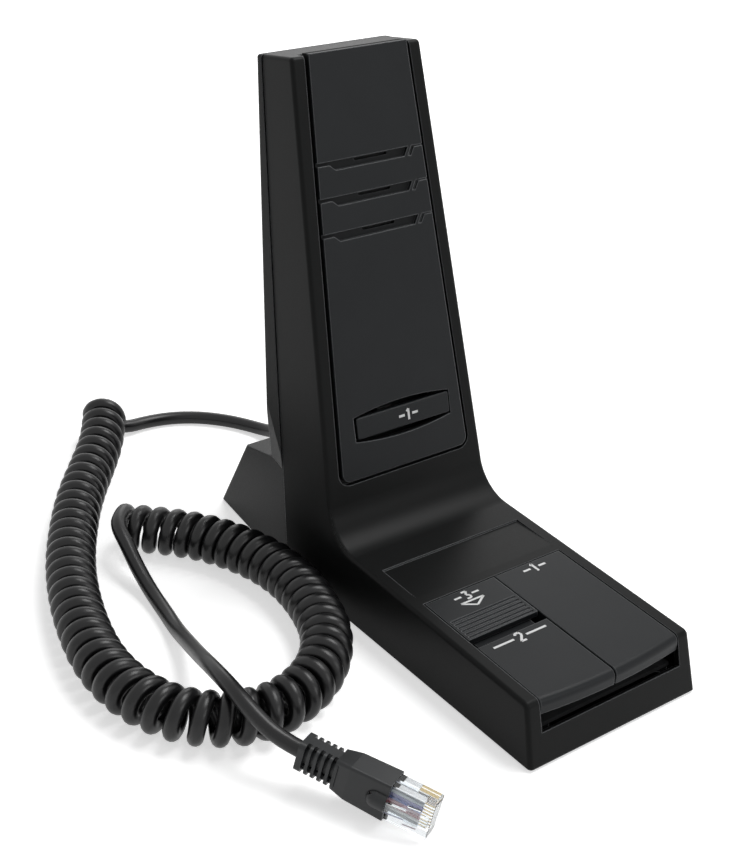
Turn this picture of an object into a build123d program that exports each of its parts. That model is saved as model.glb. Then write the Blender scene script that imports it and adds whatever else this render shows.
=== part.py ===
"""Desk microphone with a push-to-talk base, a tilted column and a curly cord.

Millimetres.  +X is the user's right, -Y the front, +Z up.  The origin is on the table,
under the middle of the stand.  Every piece is its own solid, written to its own STEP file.
"""
from build123d import *
from math import atan2, cos, degrees, pi, radians, sin, tan
import os

os.makedirs("parts", exist_ok=True)

# ---------------------------------------------------------------- driving dimensions
base_width = 70.0            # across the stand's bottom edge
overall_depth = 182.0        # front edge of the base to the tip of the rear foot
deck_height = 20.3           # deck's front edge above the shell's bottom edge
column_height = 175.4        # column's front top edge above the shell's bottom edge
stand_off = 1.0              # rubber feet hold the shell this far off the table
rake = 14.95                 # lean of the base's front and of the column's front, degrees
deck_slope = 1.95            # the deck rises this much towards the column
top_fall = 9.4               # the column's top falls this much towards the back
side_draft = 3.2             # both sides lean in
column_setback = 97.3        # column's front plane meets the bottom plane this far back
joint_setback = 127.7        # line between front shell and rear cover, at the bottom
joint_lean = 10.7
back_setback = 139.4         # column's back plane, at the bottom
back_lean = 8.1
foot_top_front = 36.4        # top of the rear foot where it meets the column's back
foot_top_back = 30.8         # top of the rear foot at its rear edge
foot_top_setback = 165.0
foot_taper = 0.115           # half width lost for each millimetre back from the joint
foot_fade = 24.0             # height over which the foot's taper fades out up the column
wall = 2.2                   # housing wall
column_wall = 1.85           # wall behind the front panel
cover_proud = 0.4            # the rear cover stands this far outside the shell's sides
lip_thick = 1.2              # strip on the rear cover that locates it in the shell
lip_depth = 3.0
joint_gap = 0.3              # shadow line between the two housing halves
fit_gap = 0.15               # between pieces that seat on each other
move_gap = 0.3               # between pieces that move past each other
root_radius = 15.0           # blend of the deck into the column
nose_radius = 2.2            # deck's front edge
crown_radius = 1.6           # column's top front edge
side_radius = 1.4            # long side edges
back_radius = 1.8            # edges of the rear cover
back_top_radius = 1.0
recess_depth = 0.6           # shallow bare recess on the deck, at its rear edge
recess_back = 81.8
recess_front = 64.0
recess_half = 29.0

# column's front panel, its louvres and its key
bezel = 4.8                  # frame left of and right of the panel groove
groove = 1.3
panel_proud = 0.5
panel_skin = 2.2             # panel's thickness below the column's face
pocket_depth = 2.5
panel_wrap = 3.3             # how far the panel reaches back over the column's top
panel_bottom = 43.0          # lower edge, measured up the column's face
panel_corner = 3.0
louvre_first = 148.3         # top edge of the upper louvre, up the column's face
louvre_pitch = 11.3
louvre_height = 3.0
louvre_lead = 1.15           # the louvre is this high along its left end
louvre_slant = 2.2           # length of its slanting left step
louvre_depth = 1.2
louvre_left = (-16.45, -17.05, -17.95)
louvre_right = (13.25, 13.55, 14.55)
sound_left = -6.3
sound_right = 6.8
sound_height = 0.85
key_left = -18.4
key_right = 20.6
key_centre = 59.8
key_height = 7.4
key_thick = 2.4
key_end_gap = 1.1
key_ends = 4.2               # half height of the key's opening at its ends
key_middle = 6.05            # and at its middle
hinge_x = 18.0               # the column key tilts about a pin near its right end
hinge_depth = 4.6
key_switch_x = -2.0

# deck keys
well_half = 29.0             # the keys' well, half width
well_back = 60.3             # from the base's front bottom edge
key_gap = 0.25               # half the gap between neighbouring keys
slot_floor = 10.0            # lower edge of the dark opening in the base's front
lip_reach = 2.8              # the opening's lower lip slopes down inwards
lip_fall = 1.6
skirt_bottom = 15.3          # lower edge of the keys' front faces
key_skin = 1.8
key_wall = 1.6
key_bow = 1.9                # the keys' front edge bows outwards
key_front = 2.8              # foremost point of the keys, from the base's front edge
key_nose = 2.4               # rounding of the keys' front top edge
monitor_back = 34.0
slider_front = 38.2
slider_back = 59.8
slider_thick = 2.0
slider_travel = 3.6
rib_count = 6
rib_pitch = 1.75
rib_depth = 0.6
ledge_drop = 2.4             # monitor key's lower ledge, below the deck
pivot_setback = 56.0
pivot_drop = 5.6             # pivot's depth below the deck
rod_radius = 1.0
pin_radius = 0.8
run_clearance = 0.05         # radial, shafts in their bores
barrel_radius = 2.4
switch_reach = 14.0          # plungers stand this far in front of the pivot
spring_reach = 34.0
spring_radius = 2.4
spring_wire = 0.25

# inside
plate_thick = 1.6
ballast_height = 10.8        # the cord and the wires pass over it
plate_bottom = stand_off + 0.6
board_bottom = 5.0
board_thick = 1.6
frame_floor = 9.0
frame_thick = 1.5
screw_radius = 1.5
boss_radius = 3.5
plunger_radius = 1.5
plunger_gap = 0.2

# cord and plug
cord_diameter = 5.2
coil_diameter = 17.4
relief_point = (12.0, 84.0, 13.5)
relief_length = 13.0

# ---------------------------------------------------------------- outline helpers
front_y = -overall_depth / 2


def steep(setback, lean, inset=0.0):
    """A line y = a*z + b in the side view, moved backwards by inset."""
    slope = tan(radians(lean))
    return slope, front_y + setback - slope * stand_off + inset / cos(radians(lean))


def flat(height, rise, at_setback=0.0, inset=0.0):
    """A line z = c*y + d in the side view, moved down by inset."""
    slope = tan(radians(rise))
    return slope, stand_off + height - slope * (front_y + at_setback) - inset / cos(radians(rise))


def meet(upright, level):
    """Corner (y, z) of a steep and a flat line."""
    a, b = upright
    c, d = level
    y = (a * d + b) / (1 - a * c)
    return y, c * y + d


def deck_line(inset=0.0):
    """The deck seen from the side."""
    return flat(deck_height, deck_slope, deck_height * tan(radians(rake)), inset)


def top_line(inset=0.0):
    """The column's top seen from the side."""
    crown = column_setback + column_height * tan(radians(rake))
    return flat(column_height, -top_fall, crown, inset)


def foot_line(inset=0.0):
    """The top of the rear foot seen from the side."""
    start = back_setback + foot_top_front * tan(radians(back_lean))
    fall = degrees(atan2(foot_top_front - foot_top_back, foot_top_setback - start))
    return flat(foot_top_front, -fall, start, inset)


def foot_back(inset=0.0):
    """The sloping rear face of the foot seen from the side."""
    lean = degrees(atan2(foot_top_setback - overall_depth, foot_top_back))
    return steep(overall_depth, lean, inset)


def level(z):
    """A level line in the side view."""
    return 0.0, z


def on_line(line, y):
    """Point (y, z) of a flat line."""
    return y, line[0] * y + line[1]


def half_width(z, inset=0.0):
    """Half the stand's width at height z."""
    return base_width / 2 - (z - stand_off) * tan(radians(side_draft)) - inset


def deck_z(y, inset=0.0):
    """Height of the deck at y, less inset."""
    return on_line(deck_line(inset), y)[1]


# planes of the two working faces: u to the right, v up the face, the normal outwards
lean = radians(rake)
column_face = Plane(origin=(0, front_y + column_setback, stand_off), x_dir=(1, 0, 0),
                    z_dir=(0, -cos(lean), sin(lean)))
column_top = column_height / cos(lean)


def column_half(v, inset=0.0):
    """Half width of the column's face at v, measured up the face."""
    return half_width(stand_off + v * cos(lean), inset)


# ---------------------------------------------------------------- solid helpers
def prism(plane, points, low, high):
    """A closed outline on a plane, filled from low to high along the plane's normal."""
    with BuildPart() as solid:
        with BuildSketch(plane.offset(low)):
            with BuildLine():
                Polyline(*points, close=True)
            make_face()
        extrude(amount=high - low)
    return solid.part


def side_prism(points, low, high):
    """A side outline (y, z) filled between two places across the stand."""
    return prism(Plane.YZ, points, low, high)


def block(plane, across, up, low, high):
    """A rectangular block on a plane, from low to high along its normal."""
    corners = [(across[0], up[0]), (across[1], up[0]), (across[1], up[1]), (across[0], up[1])]
    return prism(plane, corners, low, high)


def brick(x, y, z):
    """A block between pairs of limits."""
    return block(Plane.XY, x, y, z[0], z[1])


def peg(plane, place, radius, low, high):
    """A round peg or bore along the plane's normal."""
    with BuildPart() as solid:
        with BuildSketch(plane.offset(low)):
            with Locations(place):
                Circle(radius)
        extrude(amount=high - low)
    return solid.part


def stand_block(outline, corners, inset=0.0):
    """Side outline (y, z) with rounded corners, cut to the stand's drafted width."""
    low = stand_off - 8
    high = stand_off + column_height + 10
    wedge = [(-half_width(low, inset), low), (half_width(low, inset), low),
             (half_width(high, inset), high), (-half_width(high, inset), high)]
    with BuildPart() as solid:
        with BuildSketch(Plane.YZ) as side:
            with BuildLine():
                Polyline(*outline, close=True)
            make_face()
            for (y, z), radius in corners:
                fillet(side.vertices().sort_by_distance((y, z, 0))[0], radius)
        extrude(amount=base_width, both=True)
        with BuildSketch(Plane.XZ):
            with BuildLine():
                Polyline(*wedge, close=True)
            make_face()
        extrude(amount=2 * overall_depth, both=True, mode=Mode.INTERSECT)
    return solid.part


def write(piece, name):
    """Label a finished piece and write its STEP file."""
    piece.part.label = name
    export_step(piece.part, f"parts/{name}.step")
    print(f"{name:22s} {len(piece.part.solids())} solids {piece.part.volume:10.1f} mm3")


# ---------------------------------------------------------------- panel shape on the column
def panel_block(grow, skin, proud):
    """The panel's outline, lipped over the column's top, grown by grow all round."""
    crown_y = meet(steep(column_setback, rake), top_line())[0]
    lip = crown_y + panel_wrap + grow
    outline = [meet(steep(column_setback, rake, -proud), level(stand_off + 20)),
               meet(steep(column_setback, rake, -proud), top_line(-proud)),
               on_line(top_line(-proud), lip),
               on_line(top_line(skin), lip),
               meet(steep(column_setback, rake, skin), top_line(skin)),
               meet(steep(column_setback, rake, skin), level(stand_off + 20))]
    low = panel_bottom - grow
    high = column_top + 12
    side = bezel + groove - grow
    with BuildPart() as solid:
        with BuildSketch(Plane.YZ):
            with BuildLine():
                Polyline(*outline, close=True)
            make_face()
        extrude(amount=base_width, both=True)
        with BuildSketch(column_face.offset(-20)) as face:
            with BuildLine():
                Polyline((-column_half(low, side), low), (column_half(low, side), low),
                         (column_half(high, side), high), (-column_half(high, side), high), close=True)
            make_face()
            fillet(face.vertices().group_by(Axis.Z)[0], panel_corner + grow)
        extrude(amount=30, mode=Mode.INTERSECT)
    return solid.part


# ---------------------------------------------------------------- front shell
front = steep(0, rake)
column = steep(column_setback, rake)
joint = steep(joint_setback, joint_lean)
shell_outline = [meet(front, level(stand_off)), meet(front, deck_line()), meet(column, deck_line()),
                 meet(column, top_line()), meet(joint, top_line()), meet(joint, level(stand_off))]
shell_corners = [(shell_outline[1], nose_radius), (shell_outline[2], root_radius),
                 (shell_outline[3], crown_radius)]
column_inset = pocket_depth + column_wall
far_joint = steep(joint_setback + 12, joint_lean)
cavity_bottom = level(stand_off - 6)
inner_column = steep(column_setback, rake, column_inset)
cavity_outline = [meet(steep(0, rake, wall), cavity_bottom), meet(steep(0, rake, wall), deck_line(wall)),
                  meet(inner_column, deck_line(wall)), meet(inner_column, top_line(column_inset)),
                  meet(far_joint, top_line(column_inset)), meet(far_joint, cavity_bottom)]
well_front_y = front_y + 7
well_back_y = front_y + well_back
slot_z = stand_off + slot_floor
lip_y = front[0] * slot_z + front[1]
well_outline = [(front_y - 9, slot_z), (lip_y, slot_z), (lip_y + lip_reach, slot_z - lip_fall),
                (well_front_y, slot_z - lip_fall), (well_front_y, deck_z(well_front_y) - 4),
                (well_back_y, deck_z(well_back_y) - 4), (well_back_y, deck_z(well_back_y) + 9),
                (front_y - 9, deck_z(well_back_y) + 9)]
recess_outline = [on_line(deck_line(), front_y + recess_front),
                  on_line(deck_line(recess_depth), front_y + recess_back),
                  on_line(deck_line(-2), front_y + recess_back),
                  on_line(deck_line(-2), front_y + recess_front)]
key_window_up = (key_centre - key_middle - 0.6, key_centre + key_middle + 0.6)
key_window_across = (key_left - 1.6, key_right + 1.6)
capsule_v = louvre_first - louvre_pitch - 0.8
mid_boss = (25.5, front_y + 69.0)            # screw bosses behind the well
front_boss = (25.0, front_y + 8.6)
tray_boss = (14.0, front_y + 65.2)
cover_boss_heights = (85.0, 160.0)
plate_top = plate_bottom + plate_thick

with BuildPart() as front_shell:
    add(stand_block(shell_outline, shell_corners))
    rim = front_shell.edges().filter_by(lambda e: abs(abs(e.center().X) - half_width(e.center().Z)) < 0.6
                                        and e.center().Z > stand_off + 6
                                        and e.center().Y < meet(joint, (0, e.center().Z))[0] - 1.0)
    fillet(rim, side_radius)
    add(stand_block(cavity_outline, [(cavity_outline[2], root_radius)], wall), mode=Mode.SUBTRACT)
    add(panel_block(groove, pocket_depth, 4), mode=Mode.SUBTRACT)
    add(side_prism(well_outline, -well_half, well_half), mode=Mode.SUBTRACT)
    add(side_prism(recess_outline, -recess_half, recess_half), mode=Mode.SUBTRACT)
    add(block(column_face, key_window_across, key_window_up, -9, 2), mode=Mode.SUBTRACT)
    for index in range(len(louvre_left)):    # sound passes the wall behind each louvre
        slot_v = louvre_first - index * louvre_pitch - 0.8
        add(block(column_face, (-6.4, 6.4), (slot_v - 1.1, slot_v + 1.1), -9, 2), mode=Mode.SUBTRACT)
    add(peg(column_face, (0, capsule_v), 9.0, -9.5, 0.2 - column_inset))      # ring for the capsule boot
    add(peg(column_face, (0, capsule_v), 7.1, -9.6, -column_inset), mode=Mode.SUBTRACT)
    for side in (-1, 1):
        add(peg(Plane.XY, (side * mid_boss[0], mid_boss[1]), boss_radius, plate_top,
                deck_z(mid_boss[1], wall) + 0.5))
        add(peg(Plane.XY, (side * mid_boss[0], mid_boss[1]), screw_radius, 0, 14), mode=Mode.SUBTRACT)
        add(peg(Plane.XY, (side * front_boss[0], front_boss[1]), 3.2, plate_top, frame_floor))
        add(brick((side * front_boss[0] - 1.5, side * front_boss[0] + 1.5), (front_y + 2.6, front_boss[1]),
                  (plate_top, frame_floor)))
        add(peg(Plane.XY, (side * front_boss[0], front_boss[1]), screw_radius, 0, frame_floor - 1),
            mode=Mode.SUBTRACT)
        add(peg(Plane.XY, (side * tray_boss[0], tray_boss[1]), 3.0, frame_floor + frame_thick,
                deck_z(tray_boss[1], wall) + 0.5))
        add(peg(Plane.XY, (side * tray_boss[0], tray_boss[1]), screw_radius, 0, 16), mode=Mode.SUBTRACT)
    for z in cover_boss_heights:             # bosses that the rear cover's screws bite into
        start = inner_column[0] * z + inner_column[1] - 0.6
        stop = joint[0] * z + joint[1]
        add(peg(Plane.XZ, (0, z), boss_radius, -stop, -start))
        add(peg(Plane.XZ, (0, z), screw_radius, -stop - 1, -stop + 9), mode=Mode.SUBTRACT)
    for across in (-20, 20):                 # posts for the column's circuit board
        for up in (49.5, 72.0):
            add(peg(column_face, (across, up), 2.5, -9.0, 0.2 - column_inset))
            add(peg(column_face, (across, up), 1.0, -9.1, -5.0), mode=Mode.SUBTRACT)
write(front_shell, "front_shell")


# ---------------------------------------------------------------- rear cover with its foot
cover_inset = wall + cover_proud
foot_top_z = stand_off + foot_top_front
fade_z = foot_top_z + foot_fade
cover_back = steep(back_setback, back_lean)


def line_y(upright, z):
    """Place of a steep line at height z."""
    return upright[0] * z + upright[1]


def foot_cutter(inset):
    """What lies outside the foot's tapering sides, with facets that fade the taper out above."""
    lost = foot_taper * (line_y(cover_back, foot_top_z) - front_y - joint_setback)
    with BuildPart() as taper:
        for side in (-1, 1):
            outward = (side, foot_taper, tan(radians(side_draft)))
            low_plane = Plane(origin=(side * (base_width / 2 - inset), front_y + joint_setback, stand_off),
                              x_dir=(-side * foot_taper, 1, 0), z_dir=outward)
            add(block(low_plane, (-90, 90), (-90, 90), 0, 20))
        add(brick((-60, 60), (0, 120), (stand_off - 8, foot_top_z)), mode=Mode.INTERSECT)
    with BuildPart() as fade:
        for side in (-1, 1):
            low_half = half_width(foot_top_z) - inset
            high_half = half_width(fade_z) + cover_proud - inset
            a = Vector(side * low_half, line_y(joint, foot_top_z), foot_top_z)
            b = Vector(side * (low_half - lost), line_y(cover_back, foot_top_z), foot_top_z)
            c = Vector(side * high_half, line_y(cover_back, fade_z), fade_z)
            outward = (b - a).cross(c - a) * side
            add(block(Plane(origin=a, x_dir=b - a, z_dir=outward), (-90, 90), (-90, 90), 0, 20))
        add(brick((-60, 60), (0, 120), (foot_top_z, fade_z)), mode=Mode.INTERSECT)
    return [taper.part, fade.part]


cover_front = steep(joint_setback, joint_lean, joint_gap)
foot_tip = (front_y + overall_depth, stand_off)
foot_edge = meet(foot_back(), foot_line())
cover_outline = [meet(cover_front, level(stand_off)), meet(cover_front, top_line()),
                 meet(cover_back, top_line()), meet(cover_back, foot_line()), foot_edge, foot_tip]
open_front = steep(joint_setback - 12, joint_lean)
inner_back = steep(back_setback, back_lean, -cover_inset)
inner_foot_back = foot_back(-cover_inset)
cover_cavity = [meet(open_front, cavity_bottom), meet(open_front, top_line(cover_inset)),
                meet(inner_back, top_line(cover_inset)), meet(inner_back, foot_line(cover_inset)),
                meet(inner_foot_back, foot_line(cover_inset)), meet(inner_foot_back, cavity_bottom)]
lip_ends = (level(foot_top_z + 8), level(stand_off + column_height - 14))
lip_edges = (steep(joint_setback - lip_depth, joint_lean), steep(joint_setback + lip_depth, joint_lean))
lip_outline = [meet(lip_edges[0], lip_ends[0]), meet(lip_edges[0], lip_ends[1]),
               meet(lip_edges[1], lip_ends[1]), meet(lip_edges[1], lip_ends[0])]
rear_boss = (21.0, front_y + 159.0)
clamp_y = front_y + 151.0
clamp_reach = 6.5
relief_x, relief_y, relief_z = relief_point
cable_bottom = relief_z - cord_diameter / 2
head_depth = 2.2

with BuildPart() as cover_room:
    add(stand_block(cover_cavity, [], cover_inset))
    add(foot_cutter(cover_inset), mode=Mode.SUBTRACT)

with BuildPart() as cover_lips:
    add(stand_block(lip_outline, [], wall + fit_gap))
    add(stand_block(lip_outline, [], wall + fit_gap + lip_thick), mode=Mode.SUBTRACT)

with BuildPart() as rear_cover:
    add(stand_block(cover_outline, [(cover_outline[3], back_radius)], -cover_proud))
    add(foot_cutter(0), mode=Mode.SUBTRACT)
    back_edges = rear_cover.edges().filter_by(lambda e: abs(e.center().X) > 20 and e.center().Z > fade_z
                                              and e.center().Y > line_y(cover_back, e.center().Z) - 0.4
                                              and e.length > 60)
    fillet(back_edges, back_radius)
    foot_edges = rear_cover.edges().filter_by(lambda e: e.length > 12
                                              and e.center().Y > line_y(foot_back(), e.center().Z) - 1.2
                                              and stand_off + 3 < e.center().Z < foot_top_z)
    fillet(foot_edges, back_radius)
    top_edge = rear_cover.edges().filter_by(lambda e: abs(e.center().X) < 1 and e.length > 30
                                            and e.center().Z > stand_off + column_height / 2
                                            and e.center().Y > line_y(cover_back, e.center().Z) - 2)
    fillet(top_edge, back_top_radius)
    add(cover_room.part, mode=Mode.SUBTRACT)
    add(cover_lips.part)
    for z in cover_boss_heights:
        back_y = line_y(cover_back, z)
        add(peg(Plane.XZ, (0, z), boss_radius, -back_y + 1, -line_y(joint, z) - joint_gap))
        add(peg(Plane.XZ, (0, z), screw_radius + fit_gap, -back_y - 5, 0), mode=Mode.SUBTRACT)
        add(peg(Plane.XZ, (0, z), 3.0, -back_y - 5, -back_y + head_depth), mode=Mode.SUBTRACT)
    for side in (-1, 1):
        add(peg(Plane.XY, (side * rear_boss[0], rear_boss[1]), boss_radius, plate_top,
                on_line(foot_line(cover_inset), rear_boss[1])[1] + 0.5))
        add(peg(Plane.XY, (side * rear_boss[0], rear_boss[1]), screw_radius, 0, 14), mode=Mode.SUBTRACT)
        clamp_place = (relief_x + side * clamp_reach, clamp_y)
        add(peg(Plane.XY, clamp_place, 2.6, cable_bottom, on_line(foot_line(cover_inset), clamp_y)[1] + 0.5))
        add(peg(Plane.XY, clamp_place, 1.0, 0, cable_bottom + 7), mode=Mode.SUBTRACT)
    add(peg(Plane.XZ, (relief_x, relief_z), 4.6, -relief_y - 12, -relief_y + 12), mode=Mode.SUBTRACT)
write(rear_cover, "rear_cover")


# ---------------------------------------------------------------- base plate, ballast, feet, screws
def pan_screw(plane, place, seat, reach, head_radius, shank_radius, head=1.6):
    """Cross-recessed screw: its head below the seat, its shank reach beyond it."""
    u, v = place
    with BuildPart() as solid:
        add(peg(plane, place, head_radius, seat - head, seat))
        add(peg(plane, place, shank_radius, seat, seat + reach))
        long = head_radius * 0.6
        for half in ((long, 0.3), (0.3, long)):
            add(block(plane, (u - half[0], u + half[0]), (v - half[1], v + half[1]),
                      seat - head - 1, seat - head * 0.5), mode=Mode.SUBTRACT)
    return solid.part


def countersunk(place, grow, top):
    """Countersunk screw from below the base plate, or with grow the hole for it."""
    head = 1.2
    with BuildPart() as solid:
        with Locations((place[0], place[1], plate_bottom)):
            Cone(screw_radius + head + grow, screw_radius + grow, head,
                 align=(Align.CENTER, Align.CENTER, Align.MIN))
        add(peg(Plane.XY, place, screw_radius + grow, plate_bottom, top))
    return solid.part


screw_places = [(side * place[0], place[1])
                for place in (front_boss, mid_boss, rear_boss) for side in (-1, 1)]
plate_front = line_y(steep(0, rake, wall), plate_top) + fit_gap
plate_back = line_y(inner_foot_back, plate_top) - fit_gap
plate_half = half_width(plate_top, cover_inset + fit_gap)
plate_tail = plate_half - foot_taper * (plate_back - front_y - joint_setback)
plate_outline = [(-plate_half, plate_front), (plate_half, plate_front), (plate_half, front_y + joint_setback),
                 (plate_tail, plate_back), (-plate_tail, plate_back), (-plate_half, front_y + joint_setback)]

with BuildPart() as base_plate:
    add(prism(Plane.XY, plate_outline, plate_bottom, plate_top))
    for place in screw_places:
        add(countersunk(place, run_clearance, plate_top + 1), mode=Mode.SUBTRACT)
write(base_plate, "base_plate")

with BuildPart() as base_screws:
    for place in screw_places:
        shank_top = frame_floor - 1.5 if place[1] < front_y + 20 else 12.5
        add(countersunk(place, 0, shank_top))
write(base_screws, "base_screws")

with BuildPart() as ballast_weight:
    add(brick((-26, 26), (front_y + 83, front_y + 128), (plate_top, plate_top + ballast_height)))
    fillet(ballast_weight.edges().filter_by(Axis.Z), 3)
    chamfer(ballast_weight.faces().sort_by(Axis.Z)[-1].edges(), 0.8)
write(ballast_weight, "ballast_weight")

with BuildPart() as rubber_feet:
    for place in ((-22, front_y + 21), (22, front_y + 21), (-15, front_y + 168), (15, front_y + 168)):
        add(peg(Plane.XY, place, 5, 0, plate_bottom))
    chamfer(rubber_feet.faces().group_by(Axis.Z)[0].edges(), 0.4)
write(rubber_feet, "rubber_feet")

with BuildPart() as cover_screws:
    for z in cover_boss_heights:
        add(pan_screw(Plane.XZ, (0, z), -line_y(cover_back, z) + head_depth, 10.5, 2.8, screw_radius))
write(cover_screws, "cover_screws")

# ---------------------------------------------------------------- front panel
key_axis_u = (key_left - key_end_gap, key_right + 0.25)
key_mid_u = sum(key_axis_u) / 2


def louvre(index):
    """Stepped recess of one louvre, its slit at the right and its groove to the panel's edge."""
    top = louvre_first - index * louvre_pitch
    left = louvre_left[index]
    right = louvre_right[index]
    edge = column_half(top, bezel + groove)
    skin = panel_proud + 1
    with BuildPart() as cut:
        add(prism(column_face, [(-edge - 1, top), (right + 1.8, top), (right, top - louvre_height),
                                (left + louvre_slant, top - louvre_height), (left, top - louvre_lead),
                                (-edge - 1, top - louvre_lead)], panel_proud - louvre_depth, skin))
        add(prism(column_face, [(right + 3.2, top), (right + 4.5, top), (right + 2.7, top - louvre_height),
                                (right + 1.4, top - louvre_height)], panel_proud - 0.8, skin))
        add(prism(column_face, [(right + 3.2, top), (edge + 1, top), (edge + 1, top - 0.45),
                                (right + 3.0, top - 0.45)], panel_proud - 0.5, skin))
        add(prism(column_face, [(sound_left, top - 0.4), (sound_right + 0.5, top - 0.4),
                                (sound_right, top - 0.4 - sound_height),
                                (sound_left + 0.5, top - 0.4 - sound_height)], -panel_skin - 1, skin))
    return cut.part


with BuildPart() as front_panel:
    add(panel_block(0, panel_skin, panel_proud))
    for index in range(len(louvre_left)):
        add(louvre(index), mode=Mode.SUBTRACT)
    with BuildSketch(column_face.offset(-panel_skin - 1)):
        with BuildLine():
            for sign in (-1, 1):             # the opening bows out above and below the key
                ThreePointArc((key_axis_u[0], key_centre + sign * key_ends),
                              (key_mid_u, key_centre + sign * key_middle),
                              (key_axis_u[1], key_centre + sign * key_ends))
            for u in key_axis_u:
                Line((u, key_centre - key_ends), (u, key_centre + key_ends))
        make_face()
    extrude(amount=panel_skin + 5, mode=Mode.SUBTRACT)
    for sign in (-1, 1):                     # ears that hold the column key's pin
        ear_up = sorted((key_centre + sign * 3.5, key_centre + sign * 6.2))
        root_up = sorted((key_centre + sign * 4.6, key_centre + sign * 6.2))
        add(block(column_face, (hinge_x - 2.2, hinge_x + 2.2), ear_up, -hinge_depth - 2.2, -panel_skin - 0.3))
        add(block(column_face, (hinge_x - 2.2, hinge_x + 2.2), root_up, -panel_skin - 0.3, -panel_skin + 0.2))
    axis_plane = Plane(origin=column_face.from_local_coords((hinge_x, key_centre, -hinge_depth)),
                       x_dir=(1, 0, 0), z_dir=column_face.y_dir)
    add(peg(axis_plane, (0, 0), pin_radius, -7, 7), mode=Mode.SUBTRACT)
write(front_panel, "front_panel")

with BuildPart() as key_pin:
    add(peg(axis_plane, (0, 0), pin_radius, -6.2, 6.2))
    chamfer(key_pin.edges().filter_by(GeomType.CIRCLE), 0.2)
write(key_pin, "key_pin")

with BuildPart() as column_key:
    key_up = (key_centre - key_height / 2, key_centre + key_height / 2)
    add(block(column_face, (key_left, key_right), key_up, panel_proud - key_thick, panel_proud))
    fillet(column_key.edges().filter_by(lambda e: abs(e.length - key_thick) < 0.01), 0.8)
    fillet(column_key.faces().filter_by(lambda f: f.normal_at().dot(column_face.z_dir) > 0.99).edges(), 0.4)
    add(block(column_face, (hinge_x - 1.6, hinge_x + 1.6), (key_centre - 3.2, key_centre + 3.2),
              -hinge_depth, panel_proud - key_thick + 0.1))
    add(peg(axis_plane, (0, 0), 2.0, -3.2, 3.2))
    add(peg(axis_plane, (0, 0), pin_radius + run_clearance, -4, 4), mode=Mode.SUBTRACT)
write(column_key, "column_key")

# ---------------------------------------------------------------- inside the column
board_face = 9.0                             # depth of the board's front face behind the column's face
column_key_back = key_thick - panel_proud
with BuildPart() as column_board:
    add(block(column_face, (-23, 23), (46.5, 75.0), -board_face - board_thick, -board_face))
    for across in (-20, 20):
        for up in (49.5, 72.0):
            add(peg(column_face, (across, up), 1.2, -board_face - 5, 0), mode=Mode.SUBTRACT)
write(column_board, "column_board")

with BuildPart() as column_board_screws:
    for across in (-20, 20):
        for up in (49.5, 72.0):
            seat = -board_face - board_thick
            add(peg(column_face, (across, up), 2.0, seat - 1.4, seat))
            add(peg(column_face, (across, up), 1.0, seat, -5.2))
write(column_board_screws, "column_board_screws")


def switch_body(plane, place, seat, height, slot_depth):
    """Square push switch standing on a board, with the hole its plunger slides in."""
    u, v = place
    with BuildPart() as solid:
        add(block(plane, (u - 3, u + 3), (v - 3, v + 3), seat, seat + height))
        add(peg(plane, place, plunger_radius + run_clearance, seat + height - slot_depth, seat + height + 1),
            mode=Mode.SUBTRACT)
    return solid.part


def switch_plunger(plane, place, bottom, top):
    """Plunger with a rounded tip."""
    with BuildPart() as solid:
        add(peg(plane, place, plunger_radius, bottom, top))
        tip = solid.faces().sort_by(lambda f: plane.to_local_coords(f.center()).Z)[-1]
        fillet(tip.edges(), 0.5)
    return solid.part


with BuildPart() as column_switch:
    add(switch_body(column_face, (key_switch_x, key_centre), -board_face, 2.9, 2.4))
write(column_switch, "column_switch")

with BuildPart() as column_plunger:
    add(switch_plunger(column_face, (key_switch_x, key_centre), -7.3, -column_key_back - plunger_gap))
write(column_plunger, "column_plunger")

with BuildPart() as mic_boot:
    add(peg(column_face, (0, capsule_v), 7.0, -12.0, -column_inset - 0.05))
    add(peg(column_face, (0, capsule_v), 4.9, -10.9, 0), mode=Mode.SUBTRACT)
write(mic_boot, "mic_boot")

with BuildPart() as mic_capsule:
    add(peg(column_face, (0, capsule_v), 4.85, -10.9, -5.0))
    add(peg(column_face, (0, capsule_v), 4.0, -5.2, 0), mode=Mode.SUBTRACT)
    add(peg(column_face, (0, capsule_v), 4.0, -5.2, -5.05))
write(mic_capsule, "mic_capsule")

with BuildPart() as sound_cloth:
    low = louvre_first - 2 * louvre_pitch - 5
    add(block(column_face, (-12, 12), (low, louvre_first + 3), -panel_skin - 0.25, -panel_skin))
write(sound_cloth, "sound_cloth")

# ---------------------------------------------------------------- deck keys on their common rod
pivot_y = front_y + pivot_setback
pivot_z = deck_z(pivot_y) - pivot_drop
rod_plane = Plane(origin=(0, pivot_y, pivot_z), x_dir=(0, 1, 0), z_dir=(1, 0, 0))
key_side = well_half - move_gap
ptt_back = front_y + well_back - 0.2
bow_y = front_y + key_front


def key_plan(left, right, back, inset):
    """Key outline from above: straight sides and back, the front on the arc that both keys share."""
    def arc_y(x):
        """Front edge at x."""
        return bow_y + key_bow * (x / key_side) ** 2 + inset
    with BuildSketch() as plan:
        with BuildLine():
            ThreePointArc((left, arc_y(left)), ((left + right) / 2, arc_y((left + right) / 2)),
                          (right, arc_y(right)))
            Polyline((right, arc_y(right)), (right, back), (left, back), (left, arc_y(left)))
        make_face()
    return plan.sketch


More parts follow.
